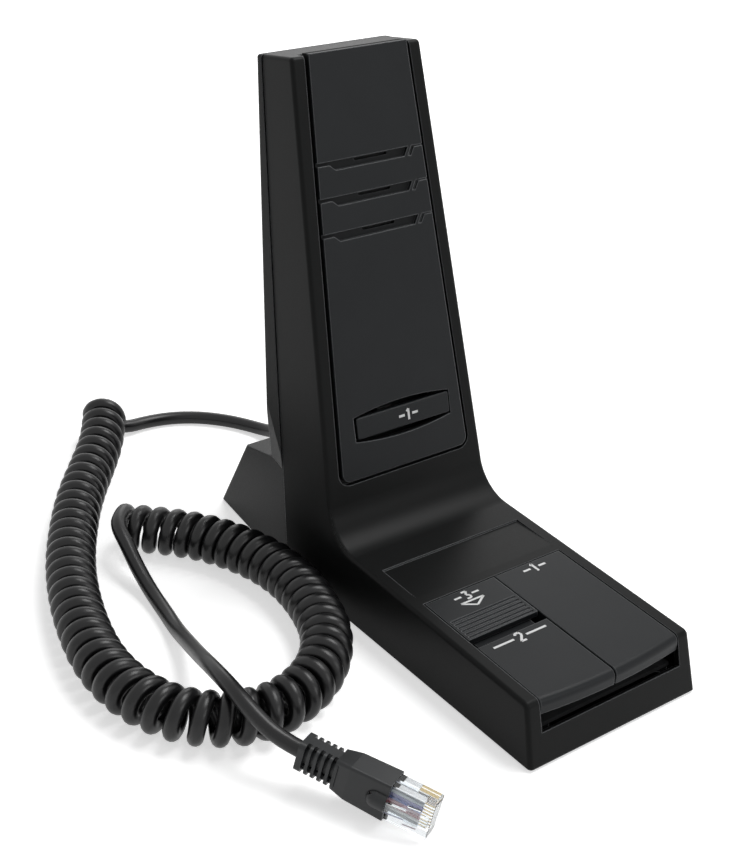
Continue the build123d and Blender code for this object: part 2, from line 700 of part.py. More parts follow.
def key_cap(left, right, back, skirt_back):
    """Hollow key: its top lies in the deck, its skirts hang at the front and the sides."""
    skirt_z = stand_off + skirt_bottom
    ahead = bow_y - 9
    top = [(ahead, skirt_z), (ahead, deck_z(ahead)), on_line(deck_line(), back + 1), (back + 1, skirt_z)]
    with BuildPart() as solid:
        add(key_plan(left, right, back, 0))
        extrude(amount=60)
        add(side_prism(top, -base_width, base_width), mode=Mode.INTERSECT)
        fillet(solid.edges().filter_by(lambda e: e.center().Y < bow_y + key_bow + 0.1
                                       and e.center().Z > skirt_z + 3 and e.length > 20), key_nose)
        rim = solid.faces().sort_by(Axis.Z)[-1].edges()
        chamfer(rim.filter_by(lambda e: e.center().Y > bow_y + 5), 0.25)
    with BuildPart() as room:
        add(key_plan(left + key_wall, right - key_wall, back - key_wall, key_wall))
        extrude(amount=60)
        hollow = [(ahead, 0), on_line(deck_line(key_skin), ahead), on_line(deck_line(key_skin), back + 1),
                  (back + 1, 0)]
        add(side_prism(hollow, -base_width, base_width), mode=Mode.INTERSECT)
    behind = [on_line(deck_line(key_skin), skirt_back), on_line(deck_line(key_skin), back + 2), (back + 2, 0),
              (skirt_back, 0)]
    with BuildPart() as cap:
        add(solid.part)
        add(room.part, mode=Mode.SUBTRACT)
        add(side_prism(behind, -base_width, base_width), mode=Mode.SUBTRACT)
    return cap.part


def rod_arm(left, right, top_inset):
    """Arm from below a key's top down to a barrel round the rod."""
    web = [on_line(deck_line(top_inset), pivot_y - 5), on_line(deck_line(top_inset), pivot_y + 3.6),
           (pivot_y + 2, pivot_z), (pivot_y - 2, pivot_z)]
    with BuildPart() as arm:
        add(side_prism(web, left, right))
        add(peg(rod_plane, (0, 0), barrel_radius, left, right))
        add(peg(rod_plane, (0, 0), rod_radius + run_clearance, left - 1, right + 1), mode=Mode.SUBTRACT)
    return arm.part


plunger_y = pivot_y - switch_reach
spring_y = pivot_y - spring_reach
plunger_tip = 13.3
press_z = plunger_tip + plunger_gap          # lower end of the keys' pressing pegs
ptt_switch_x = 14.5
monitor_arm = (-15.0, -5.5)
monitor_switch_x = sum(monitor_arm) / 2
monitor_back_y = front_y + monitor_back
ledge_back_y = front_y + slider_front + 1.3

with BuildPart() as ptt_button:
    add(key_cap(key_gap, key_side, ptt_back, pivot_y - 7))
    for left in (3.0, 21.5):
        add(rod_arm(left, left + 3, key_skin - 0.2))
    add(peg(Plane.XY, (ptt_switch_x, plunger_y), 2.4, press_z, deck_z(plunger_y, key_skin) + 0.2))
    add(peg(Plane.XY, (ptt_switch_x, spring_y), 1.8, 18.0, deck_z(spring_y, key_skin) + 0.2))
write(ptt_button, "ptt_button")

with BuildPart() as monitor_button:
    add(key_cap(-key_side, -key_gap, monitor_back_y, monitor_back_y - 5))
    root = deck_line(key_skin - 0.2)
    ledge_top = deck_line(ledge_drop)
    ledge_under = deck_line(ledge_drop + 1.8)
    ledge = [on_line(root, monitor_back_y - 6), on_line(root, monitor_back_y),
             on_line(ledge_top, monitor_back_y), on_line(ledge_top, ledge_back_y),
             on_line(ledge_under, ledge_back_y), on_line(ledge_under, monitor_back_y - 6)]
    add(side_prism(ledge, -26.2, -3.0))
    arm_top = deck_line(ledge_drop + 0.4)
    arm = [on_line(arm_top, monitor_back_y - 2), on_line(arm_top, ledge_back_y),
           on_line(deck_line(pivot_drop - barrel_radius), ledge_back_y + 3),
           on_line(deck_line(pivot_drop - barrel_radius), pivot_y), (pivot_y, pivot_z - barrel_radius),
           on_line(deck_line(pivot_drop + barrel_radius), monitor_back_y - 2)]
    add(side_prism(arm, *monitor_arm))
    add(peg(rod_plane, (0, 0), barrel_radius, *monitor_arm))
    add(peg(rod_plane, (0, 0), rod_radius + run_clearance, -20, 0), mode=Mode.SUBTRACT)
    add(peg(Plane.XY, (monitor_switch_x, plunger_y), 2.4, press_z, deck_z(plunger_y, pivot_drop)))
    add(peg(Plane.XY, (-ptt_switch_x, spring_y), 1.8, 18.0, deck_z(spring_y, key_skin) + 0.2))
write(monitor_button, "monitor_button")

# ---------------------------------------------------------------- lock slider
slide_edges = (-well_half + 0.5, -key_gap)
slide_front_y = front_y + slider_front
slide_back_y = front_y + slider_back
left_rail = (-27.9, -26.5)
right_rail = (-2.4, -1.0)
leg_front_y = slide_front_y + 7
post_y = front_y + 47.0
post_x = -20.7
knob_top = 14.0

with BuildPart() as lock_slider:
    plate = [on_line(deck_line(), slide_front_y), on_line(deck_line(), slide_back_y),
             on_line(deck_line(slider_thick), slide_back_y), on_line(deck_line(slider_thick), slide_front_y)]
    add(side_prism(plate, *slide_edges))
    for index in range(rib_count):           # grip grooves across the slider
        groove_y = slide_front_y + 1.1 + index * rib_pitch
        cut = [on_line(deck_line(-0.2), groove_y - 0.65), on_line(deck_line(-0.2), groove_y + 0.65),
               on_line(deck_line(rib_depth), groove_y + 0.1), on_line(deck_line(rib_depth), groove_y - 0.1)]
        add(side_prism(cut, slide_edges[0] + 1, slide_edges[1] - 1), mode=Mode.SUBTRACT)
    for rail, inward in ((left_rail, 1), (right_rail, -1)):
        leg_x = rail[1] + fit_gap if inward > 0 else rail[0] - fit_gap
        leg = sorted((leg_x, leg_x + inward))
        toe = sorted((leg_x, leg_x - inward * 0.9))
        for across, low, high in ((leg, 4.6, slider_thick - 0.2), (toe, 4.6, 3.7)):
            outline = [on_line(deck_line(low), leg_front_y), on_line(deck_line(low), leg_front_y + 6),
                       on_line(deck_line(high), leg_front_y + 6), on_line(deck_line(high), leg_front_y)]
            add(side_prism(outline, *across))
    add(brick((post_x - 1.9, post_x + 1.9), (post_y - 2, post_y + 2),
              (knob_top, deck_z(post_y, slider_thick) + 0.3)))
write(lock_slider, "lock_slider")

# ---------------------------------------------------------------- frame, rod and springs
tray_top = frame_floor + frame_thick
tray_half = 28.2
tray_front_y = front_y + 6.6
rail_front_y = slide_front_y + 1.8
board_back_y = front_y + 61
board_post = (22.5, (front_y + 17, front_y + 57))
switch_windows = [(ptt_switch_x, plunger_y, 3.4, 3.4), (monitor_switch_x, plunger_y, 3.4, 3.4),
                  (post_x, post_y - 1.8, 3.4, 6.9)]

with BuildPart() as button_frame:
    add(brick((-tray_half, tray_half), (tray_front_y, front_y + 60), (frame_floor, tray_top)))
    for side in (-1, 1):
        tab = sorted((side * 9.5, side * 18.5))
        add(brick(tab, (front_y + 59, tray_boss[1] + 4), (frame_floor, tray_top)))
        add(peg(Plane.XY, (side * tray_boss[0], tray_boss[1]), screw_radius + fit_gap, 0, 20),
            mode=Mode.SUBTRACT)
        for y in board_post[1]:
            add(peg(Plane.XY, (side * board_post[0], y), 2.3, board_bottom + board_thick, frame_floor + 0.2))
    for x, y, half_x, half_y in switch_windows:
        add(brick((x - half_x, x + half_x), (y - half_y, y + half_y), (0, 30)), mode=Mode.SUBTRACT)
    for rail in (left_rail, right_rail):
        outline = [(rail_front_y, frame_floor), (pivot_y + 3.4, frame_floor),
                   on_line(deck_line(slider_thick + fit_gap), pivot_y + 3.4),
                   on_line(deck_line(slider_thick + fit_gap), rail_front_y)]
        add(side_prism(outline, *rail))
        window_y = (leg_front_y - slider_travel - 0.4, leg_front_y + 6.4)
        window = [on_line(deck_line(4.9), window_y[0]), on_line(deck_line(4.9), window_y[1]),
                  on_line(deck_line(3.4), window_y[1]), on_line(deck_line(3.4), window_y[0])]
        add(side_prism(window, rail[0] - 1, rail[1] + 0.1 if rail is right_rail else rail[1] + 1),
            mode=Mode.SUBTRACT)
    ear = [(pivot_y - 4, frame_floor), (pivot_y + 3.4, frame_floor),
           on_line(deck_line(key_skin + 1.2), pivot_y + 3.4), on_line(deck_line(key_skin + 1.2), pivot_y - 4)]
    add(side_prism(ear, 26.0, 27.6))
    add(peg(rod_plane, (0, 0), rod_radius, -40, 40), mode=Mode.SUBTRACT)
    for side in (-1, 1):
        for y in board_post[1]:
            add(peg(Plane.XY, (side * board_post[0], y), 1.0, 0, frame_floor + 0.7), mode=Mode.SUBTRACT)
        add(peg(Plane.XY, (side * ptt_switch_x, spring_y), 1.8, tray_top - 0.2, tray_top + 1.2))
write(button_frame, "button_frame")

with BuildPart() as pivot_rod:
    add(peg(rod_plane, (0, 0), rod_radius, left_rail[0], 27.6))
    chamfer(pivot_rod.edges().filter_by(GeomType.CIRCLE), 0.2)
write(pivot_rod, "pivot_rod")

with BuildPart() as frame_screws:
    for side in (-1, 1):
        add(pan_screw(Plane.XY, (side * tray_boss[0], tray_boss[1]), frame_floor, 6.5, 2.6, screw_radius))
write(frame_screws, "frame_screws")


def key_spring(x, name):
    """Coil spring between the tray and a key's underside."""
    low = tray_top + spring_wire
    height = deck_z(spring_y, key_skin) - spring_wire - 0.1 - low
    turns = 7
    with BuildPart() as spring:
        with BuildLine() as path:
            Helix(pitch=height / turns, height=height, radius=spring_radius, center=(x, spring_y, low))
        with BuildSketch(Plane(origin=path.line @ 0, z_dir=path.line % 0)):
            Circle(spring_wire)
        sweep(is_frenet=True)
    write(spring, name)


key_spring(ptt_switch_x, "ptt_spring")
key_spring(-ptt_switch_x, "monitor_spring")

# ---------------------------------------------------------------- main board and switches
board_top = board_bottom + board_thick
with BuildPart() as main_board:
    add(brick((-26, 26), (front_y + 13, board_back_y), (board_bottom, board_top)))
    for side in (-1, 1):
        for y in board_post[1]:
            add(peg(Plane.XY, (side * board_post[0], y), 1.1, 0, 20), mode=Mode.SUBTRACT)
write(main_board, "main_board")

with BuildPart() as board_screws:
    for side in (-1, 1):
        for y in board_post[1]:
            add(pan_screw(Plane.XY, (side * board_post[0], y), board_bottom, 4.4, 2.0, 1.0, 1.2))
write(board_screws, "board_screws")

for name, x in (("ptt", ptt_switch_x), ("monitor", monitor_switch_x)):
    with BuildPart() as key_switch:
        add(switch_body(Plane.XY, (x, plunger_y), board_top, 5.0, 4.4))
    write(key_switch, f"{name}_switch")
    with BuildPart() as key_plunger:
        add(switch_plunger(Plane.XY, (x, plunger_y), board_top + 1.7, plunger_tip))
    write(key_plunger, f"{name}_plunger")

with BuildPart() as lock_switch:
    add(brick((post_x - 3, post_x + 3), (post_y - 8.4, post_y + 4.8), (board_top, board_top + 4.2)))
    add(brick((post_x - 1.3, post_x + 1.3), (post_y - 1.9 - slider_travel, post_y + 1.9),
              (board_top + 1.2, board_top + 9)), mode=Mode.SUBTRACT)
write(lock_switch, "lock_switch")

with BuildPart() as lock_knob:
    add(brick((post_x - 1.1, post_x + 1.1), (post_y - 1.6, post_y + 1.6), (board_top + 1.5, knob_top)))
write(lock_knob, "lock_knob")

header_y = (board_back_y - 5, board_back_y + 0.5)
with BuildPart() as cord_header:
    add(brick((-12, 8), header_y, (board_top, board_top + 2.2)))
write(cord_header, "cord_header")


# ---------------------------------------------------------------- cord
def tube(points, radius, name):
    """Cable along straight runs joined by arcs as large as the runs allow."""
    corners = [Vector(*point) for point in points]
    runs = [end - start for start, end in zip(corners, corners[1:])]
    radii = []
    for before, after in zip(runs, runs[1:]):
        turn = radians(before.get_angle(after))
        radii.append(0.45 * min(before.length, after.length) / tan(turn / 2))
    with BuildPart() as cable:
        with BuildLine() as path:
            FilletPolyline(*points, radius=radii)
        route = path.wires()[0]
        with BuildSketch(Plane(origin=route @ 0, z_dir=route % 0)):
            Circle(radius)
        sweep(path=route)
    write(cable, name)


cable_radius = cord_diameter / 2
with BuildPart() as cord_relief:
    relief = [(0, relief_y - 8.5), (6, relief_y - 8.5), (6, relief_y - 6.1), (4.45, relief_y - 6.1),
              (4.45, relief_y + 2), (3.3, relief_y + relief_length), (0, relief_y + relief_length)]
    with BuildSketch(Plane.XY):
        with BuildLine():
            Polyline(*relief, close=True)
        make_face()
    revolve(axis=Axis.Y)
    for index in range(4):                   # flexing grooves round the tail
        groove_y = relief_y + 4 + index * 2.2
        with BuildSketch(Plane.XY):
            with Locations((4.0, groove_y)):
                Rectangle(2.0, 0.8)
        revolve(axis=Axis.Y, mode=Mode.SUBTRACT)
cord_relief.part = cord_relief.part.moved(Location((relief_x, 0, relief_z)))
write(cord_relief, "cord_relief")

# inner end of the cord, held by a clamp and plugged into the header
tube([(relief_x, relief_y - 8.5, relief_z), (12.4, 64, 13.4), (11.2, 52, 14.2), (9.0, 40, 17.6),
      (6.4, 26, 19.2), (4.0, 11, 19.3), (2.4, -3, 18.9), (1.2, -13.5, 15.0), (0.4, -21, 9.6),
      (0.2, header_y[1] + 0.3, 8.6)], cable_radius, "cord_inner")

clamp_thick = 1.8
with BuildPart() as cord_clamp:
    half = clamp_reach + 2.8
    add(brick((relief_x - half, relief_x + half), (clamp_y - 3, clamp_y + 3),
              (cable_bottom - clamp_thick, cable_bottom)))
    fillet(cord_clamp.edges().filter_by(Axis.Z), 1.5)
    for side in (-1, 1):
        add(peg(Plane.XY, (relief_x + side * clamp_reach, clamp_y), 1.1, 0, 20), mode=Mode.SUBTRACT)
write(cord_clamp, "cord_clamp")

with BuildPart() as clamp_screws:
    for side in (-1, 1):
        place = (relief_x + side * clamp_reach, clamp_y)
        add(pan_screw(Plane.XY, place, cable_bottom - clamp_thick, 7.5, 2.0, 1.0, 1.2))
write(clamp_screws, "clamp_screws")

# wires to the column's board and to the capsule
board_edge = column_face.from_local_coords((-9, 46.5, -board_face - board_thick / 2))
board_head = column_face.from_local_coords((9, 75.0, -board_face - board_thick / 2))
wire_radius = 0.9
wire_x = -7.0
tube([(wire_x, header_y[1] + 0.15, 7.9), (wire_x, -26, 8.3), (wire_x, -21, 12.9), (wire_x, -14, 17.7),
      (wire_x, 1, 18.6), (wire_x, 14, 19.1), (wire_x, 21.5, 23.4),
      (wire_x, board_edge.Y - 2.8, board_edge.Z - 12.5), (wire_x, board_edge.Y - 1.6, board_edge.Z - 5.6),
      (wire_x, board_edge.Y, board_edge.Z - 0.15)], wire_radius, "column_wires")
mic_route = [(9, 75.0, -9.8), (9, 84, -9.9), (8.6, 96, -11.2), (7, 108, -13.6), (4.6, 119, -16.2),
             (2, 128, -17.2), (0.3, 134.6, -15.4), (0, capsule_v, -12.25)]
tube([tuple(column_face.from_local_coords(point)) for point in mic_route], wire_radius, "mic_wires")

# free cord on the table: lead, curly part, tail
tube([(relief_x, relief_y + relief_length, relief_z), (12.4, 105, 11.0), (12.9, 114, 6.0), (12.0, 123.5, 3.1),
      (8.6, 132, 2.65), (3.4, 140.3, 2.6), (-4.5, 148.5, 2.6), (-14.5, 154.2, 2.6), (-25.5, 156.2, 2.8),
      (-35.5, 154.0, 3.8), (-41.0, 151.5, 5.5)], cable_radius, "cord_lead")
tube([(-42.9, 157.2, 12.0), (-50.8, 143, 9.6), (-63.5, 127, 8.7), (-79, 108, 8.7), (-92.5, 87, 8.7),
      (-104, 66, 8.7), (-113.5, 41, 8.7), (-119.5, 15, 8.7), (-118, -7, 8.7), (-108.5, -25, 8.7),
      (-90, -34.5, 8.7), (-69, -29.5, 8.7), (-53, -14.5, 8.7), (-45.5, 6, 8.7), (-43.2, 28, 8.7),
      (-48.5, 49, 8.7), (-60, 68, 8.7), (-75.5, 81.5, 8.7)], coil_diameter / 2, "cord_coil")
tube([(-64.5, 88.0, 12.6), (-72.5, 85.0, 15.0), (-78.6, 78.0, 15.6), (-81.0, 68.5, 12.6),
      (-82.3, 58.5, 7.4), (-83.2, 48, 3.4), (-84.6, 36, 2.6), (-87, 24, 3.4), (-90.2, 11, 7.5),
      (-94.3, -3, 13.0), (-98.3, -17, 19.0), (-100.2, -31, 21.3), (-99.6, -42, 18.6),
      (-96.6, -50.35, 14.25), (-93.05, -57.39, 12.95)], cable_radius, "cord_tail")

# ---------------------------------------------------------------- modular plug, lying on its side
plug_point = Vector(-80, -83, 8.4)           # middle of the boot's front
plug_yaw = 27.0                              # the plug points this far from -Y towards +X
plug_dip = 9.0                               # and this far down
plug_roll = 8.0
boot_across = 12.4
boot_through = 9.5
boot_length = 17.3
boot_sections = ((boot_length, 10.4, 7.8, 1.2), (12.6, 11.6, 9.3, 0.9), (0, boot_across, boot_through, 0.8))
bulge_radius = 2.9
bulge_proud = 2.0                            # the latch's shelter stands this far out of the boot
bulge_length = 3.6
latch_room = 2.0
latch_pocket = 5.5
tail_length = 11.8
relief_across = 9.4
relief_through = 8.6
relief_corner = 1.6
sleeve_radius = 3.1
spine_thick = 1.5
spine_wide = 3.6
spine_place = relief_across / 2 - spine_thick / 2
slot_count = 5
slot_width = 1.2
slot_pitch = 2.15
body_wide = 11.68
body_deep = 6.6
body_out = 13.3
body_in = 8.2
contact_count = 8
pitch_of_contacts = 1.02
contact_wide = 0.34
latch_length = 12.0
latch_rise = 9.5

yaw = radians(plug_yaw)
dip = radians(plug_dip)
roll = radians(plug_roll)
plug_axis = Vector(sin(yaw) * cos(dip), -cos(yaw) * cos(dip), -sin(dip))
level_side = Vector(-cos(yaw), -sin(yaw), 0)
plug_up = level_side.cross(plug_axis)
plug_wide = level_side * -sin(roll) + plug_up * cos(roll)
plug_plane = Plane(origin=plug_point, x_dir=plug_wide, z_dir=plug_axis)


def body_across(grow=0.0):
    """The clear body's two sides across the plug, moved out by grow."""
    return -body_wide / 2 - grow, body_wide / 2 + grow


def body_through(grow=0.0):
    """The clear body's contact face and latch face, moved out by grow."""
    return -body_deep / 2 - grow, body_deep / 2 + grow


with BuildPart() as plug_boot:
    for depth, across, through, corner in boot_sections:
        with BuildSketch(plug_plane.offset(-depth)):
            RectangleRounded(across, through, corner)
    loft(ruled=True)
    with BuildSketch(plug_plane.offset(-boot_length - tail_length)):     # comb-like strain relief
        RectangleRounded(relief_across, relief_through, relief_corner)
    extrude(amount=tail_length + 1)
    for index in range(slot_count):
        slot_low = -boot_length - slot_width - index * slot_pitch
        with BuildSketch(plug_plane.offset(slot_low)):
            Rectangle(boot_across, boot_across)
            Circle(sleeve_radius, mode=Mode.SUBTRACT)
            with Locations((-spine_place, 0), (spine_place, 0)):
                Rectangle(spine_thick, spine_wide, mode=Mode.SUBTRACT)
        extrude(amount=slot_width, mode=Mode.SUBTRACT)
    bulge_centre = boot_through / 2 + bulge_proud - bulge_radius
    add(peg(plug_plane, (0, bulge_centre), bulge_radius, -bulge_length, 0))
    with Locations(plug_plane.from_local_coords((0, bulge_centre, -bulge_length))):
        Sphere(bulge_radius)
    add(block(plug_plane, body_across(run_clearance), body_through(run_clearance), -body_in - run_clearance, 1),
        mode=Mode.SUBTRACT)
    pocket = (body_deep / 2, bulge_centre + latch_room)
    add(block(plug_plane, (-latch_room, latch_room), pocket, -latch_pocket, 1), mode=Mode.SUBTRACT)
write(plug_boot, "plug_boot")

latch_root = body_out - 1.1
contact_places = [(index - (contact_count - 1) / 2) * pitch_of_contacts for index in range(contact_count)]
with BuildPart() as plug_body:
    add(block(plug_plane, body_across(), body_through(), -body_in, body_out))
    fillet(plug_body.faces().sort_by(lambda f: f.center().dot(plug_axis))[-1].edges(), 0.4)
    add(block(plug_plane, (-4.3, 4.3), (-1.1, 0.4), -body_in - 1, body_out - 3.6), mode=Mode.SUBTRACT)
    for u in contact_places:
        slot = (u - contact_wide / 2 - run_clearance, u + contact_wide / 2 + run_clearance)
        add(block(plug_plane, slot, (-body_deep / 2 - 1, -1.35), body_out - 7, body_out - 0.9),
            mode=Mode.SUBTRACT)
write(plug_body, "plug_body")

with BuildPart() as plug_contacts:
    for u in contact_places:
        blade = (u - contact_wide / 2, u + contact_wide / 2)
        add(block(plug_plane, blade, (-body_deep / 2 + 0.3, -1.4), body_out - 6.9, body_out - 1.2))
write(plug_contacts, "plug_contacts")

with BuildPart() as plug_conductors:
    for u in contact_places:
        add(peg(plug_plane, (u, -0.35), 0.46, -body_in, body_out - 3.8))
write(plug_conductors, "plug_conductors")

latch_pivot = plug_plane.from_local_coords((0, body_deep / 2 + 0.62, latch_root))
latch_out = plug_axis.cross(plug_wide) * -sin(radians(latch_rise))
latch_along = plug_axis * cos(radians(latch_rise)) + latch_out
latch_plane = Plane(origin=latch_pivot, x_dir=plug_wide, z_dir=latch_along)
with BuildPart() as plug_latch:
    add(block(latch_plane, (-1.6, 1.6), (-0.5, 0.5), -latch_length, 0))
    add(block(latch_plane, (-3.1, 3.1), (-0.5, 0.5), -6.2, -2.2))
    latch_axis = Plane(origin=latch_pivot, x_dir=latch_plane.y_dir, z_dir=plug_wide)
    add(peg(latch_axis, (0, 0), 0.5, -1.6, 1.6))
write(plug_latch, "plug_latch")
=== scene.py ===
"""Looks of a desk microphone: wedge base with keys, tilted column, curly cord and modular plug."""
from math import cos, pi, radians, sin

import bpy
from mathutils import Matrix, Vector


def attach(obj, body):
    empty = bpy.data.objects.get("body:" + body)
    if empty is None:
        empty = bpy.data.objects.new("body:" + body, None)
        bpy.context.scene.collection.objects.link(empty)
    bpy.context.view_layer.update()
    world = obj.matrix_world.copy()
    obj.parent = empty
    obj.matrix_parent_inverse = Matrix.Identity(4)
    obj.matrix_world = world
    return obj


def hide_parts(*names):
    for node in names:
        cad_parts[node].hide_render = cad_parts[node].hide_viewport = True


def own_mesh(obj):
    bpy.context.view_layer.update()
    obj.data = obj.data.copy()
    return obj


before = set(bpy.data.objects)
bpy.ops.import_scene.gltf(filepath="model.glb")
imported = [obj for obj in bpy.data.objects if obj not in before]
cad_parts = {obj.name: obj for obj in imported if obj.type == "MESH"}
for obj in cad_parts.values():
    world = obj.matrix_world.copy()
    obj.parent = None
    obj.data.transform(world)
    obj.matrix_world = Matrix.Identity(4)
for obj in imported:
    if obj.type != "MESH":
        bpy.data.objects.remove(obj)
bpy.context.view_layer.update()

scene = bpy.context.scene

# ---------------------------------------------------------------- camera
# A table-top still life, seen from the user's left and a little above.
# The lens is a short telephoto, so that the column keeps its real taper.
MM = 0.001
camera_place = Vector((-288.5, -336.5, 301.4)) * MM
camera_turn = radians(-37.799)
camera_height = radians(28.517)
camera_roll = radians(2.525)
focal_length = 63.75


def camera_axes(turn, height, roll):
    """Right, up and back directions of a camera that looks down at the table."""
    back = Vector((sin(turn) * cos(height), -cos(turn) * cos(height), sin(height)))
    right = (-back).cross(Vector((0, 0, 1))).normalized()
    up = back.cross(right)
    return right * cos(roll) + up * sin(roll), up * cos(roll) - right * sin(roll), back


lens = bpy.data.cameras.new("studio_camera")
lens.lens = focal_length
lens.clip_start = 10 * MM
camera = bpy.data.objects.new("studio_camera", lens)
scene.collection.objects.link(camera)
camera_turned = Matrix(list(zip(*camera_axes(camera_turn, camera_height, camera_roll))))
camera.matrix_world = Matrix.Translation(camera_place) @ camera_turned.to_4x4()
scene.camera = camera
scene.view_settings.view_transform = "Standard"


# ---------------------------------------------------------------- curly cord
# Four-core cable in a satin black polyurethane jacket. It is wound hot on a mandrel and stays
# curled, between a short straight lead at the stand and a straight tail at the plug.
# Extrusion leaves the jacket smooth, with a faint drag that widens its highlights.
def linear(colour):
    """sRGB hex colour as the linear RGBA that shaders take."""
    parts = [int(colour[i:i + 2], 16) / 255 for i in (1, 3, 5)]
    return tuple(c / 12.92 if c <= 0.04045 else ((c + 0.055) / 1.055) ** 2.4 for c in parts) + (1.0,)


def add_node(tree, kind, settings=None, values=None, links=None):
    """A shader node with its settings, its socket values and what feeds its sockets."""
    node = tree.nodes.new(kind)
    for name, value in (settings or {}).items():
        setattr(node, name, value)
    for name, value in (values or {}).items():
        node.inputs[name].default_value = value
    for name, source in (links or {}).items():
        tree.links.new(source, node.inputs[name])
    return node


def blank_material(name):
    """A node material with nothing in it, and its tree."""
    material = bpy.data.materials.new(name)
    material.use_nodes = True
    material.node_tree.nodes.clear()
    return material, material.node_tree


def per_mm(size):
    """Texture scale for features of a size in millimetres."""
    return 1 / (size * MM)


def mottled_surface(name, dark, light, pattern, grain_mm, depth_mm, rough, **skin_values):
    """A cloudy tone and gloss over a grain that stands in relief."""
    material, tree = blank_material(name)
    place = add_node(tree, "ShaderNodeTexCoord")
    grain = add_node(tree, pattern, values={"Scale": per_mm(grain_mm)},
                     links={"Vector": place.outputs["Object"]})
    height = grain.outputs["Distance" if pattern == "ShaderNodeTexVoronoi" else "Fac"]
    cloud = add_node(tree, "ShaderNodeTexNoise", values={"Scale": per_mm(12 * grain_mm), "Detail": 3.0},
                     links={"Vector": place.outputs["Object"]})
    tone = add_node(tree, "ShaderNodeMix", {"data_type": "RGBA"}, {6: linear(dark), 7: linear(light)},
                    {0: cloud.outputs["Fac"]})
    gloss = add_node(tree, "ShaderNodeMapRange",
                     values={"From Min": 0.3, "From Max": 0.7, "To Min": rough[0], "To Max": rough[1]},
                     links={"Value": cloud.outputs["Fac"]})
    relief = add_node(tree, "ShaderNodeBump", values={"Strength": 0.6, "Distance": depth_mm * MM},
                      links={"Height": height})
    skin = add_node(tree, "ShaderNodeBsdfPrincipled", values=skin_values,
                    links={"Base Color": tone.outputs[2], "Roughness": gloss.outputs[0],
                           "Normal": relief.outputs[0]})
    add_node(tree, "ShaderNodeOutputMaterial", links={"Surface": skin.outputs[0]})
    return material


def finish_nodes(material, *names):
    """Give CAD nodes one material all over."""
    for name in names:
        slots = bpy.data.objects[name].data.materials
        slots.clear()
        slots.append(material)


cable_diameter = 5.2
ring_radius = 6.1            # of the cable's centre in a turn of the curly part
steps_per_turn = 16
lead_route = [(12.0, 97.0, 13.5), (12.4, 105, 11.0), (12.9, 114, 6.0), (12.0, 123.5, 3.1), (8.6, 132, 2.65),
              (3.4, 140.3, 2.6), (-4.5, 148.5, 2.6), (-14.5, 154.2, 2.6), (-25.5, 156.2, 2.8),
              (-34.0, 155.2, 3.4)]
coil_route = [(-42.9, 156.8, 12.0), (-50.8, 143, 9.6), (-63.5, 127, 8.7), (-79, 108, 8.7), (-92.5, 87, 8.7),
              (-104, 66, 8.7), (-113.5, 41, 8.7), (-119.5, 15, 8.7), (-118, -7, 8.7), (-108.5, -25, 8.7),
              (-90, -34.5, 8.7), (-69, -29.5, 8.7), (-53, -14.5, 8.7), (-45.5, 6, 8.7), (-43.2, 28, 8.7),
              (-48.5, 49, 8.7), (-60, 68, 8.7), (-75.5, 81.5, 8.7)]
tail_route = [(-81.0, 75.5, 15.0), (-82.0, 67.0, 12.4), (-82.6, 58.5, 7.4), (-83.2, 48, 3.4),
              (-84.6, 36, 2.6), (-87, 24, 3.4), (-90.2, 11, 7.5), (-94.3, -3, 13.0), (-98.3, -17, 19.0),
              (-100.2, -31, 21.3), (-99.6, -42, 18.6), (-96.6, -50.35, 14.25), (-93.05, -57.39, 12.95)]
# Share of the curly part's length, and millimetres a turn there.
turn_spacing = [(0.0, 6.4), (0.08, 7.0), (0.3, 6.1), (0.42, 6.2), (0.52, 6.7), (0.62, 6.5), (0.72, 5.8),
                (0.9, 5.8), (1.0, 6.5)]


def nurbs(name, points):
    """Open NURBS curve of order 3 with the given control points."""
    curve = bpy.data.curves.new(name, "CURVE")
    curve.dimensions = "3D"
    spline = curve.splines.new("NURBS")
    spline.points.add(len(points) - 1)
    for control, point in zip(spline.points, points):
        control.co = (*point, 1.0)
    spline.order_u = 3
    spline.use_endpoint_u = True
    return curve


def line_of(points):
    """Points along the smooth line of a route, a fraction of a millimetre apart."""
    curve = nurbs("route", points)
    curve.splines[0].resolution_u = 40
    guide = bpy.data.objects.new("route", curve)
    scene.collection.objects.link(guide)
    bpy.context.view_layer.update()
    mesh = bpy.data.meshes.new_from_object(guide)
    line = [vertex.co.copy() for vertex in mesh.vertices]
    bpy.data.objects.remove(guide)
    bpy.data.meshes.remove(mesh)
    bpy.data.curves.remove(curve)
    return line


def coil_pitch(share):
    """Metres along the coil for one turn, at a share of its length."""
    for (start, low), (stop, high) in zip(turn_spacing, turn_spacing[1:]):
        if share <= stop:
            return (low + (high - low) * (share - start) / (stop - start)) * MM
    return turn_spacing[-1][1] * MM


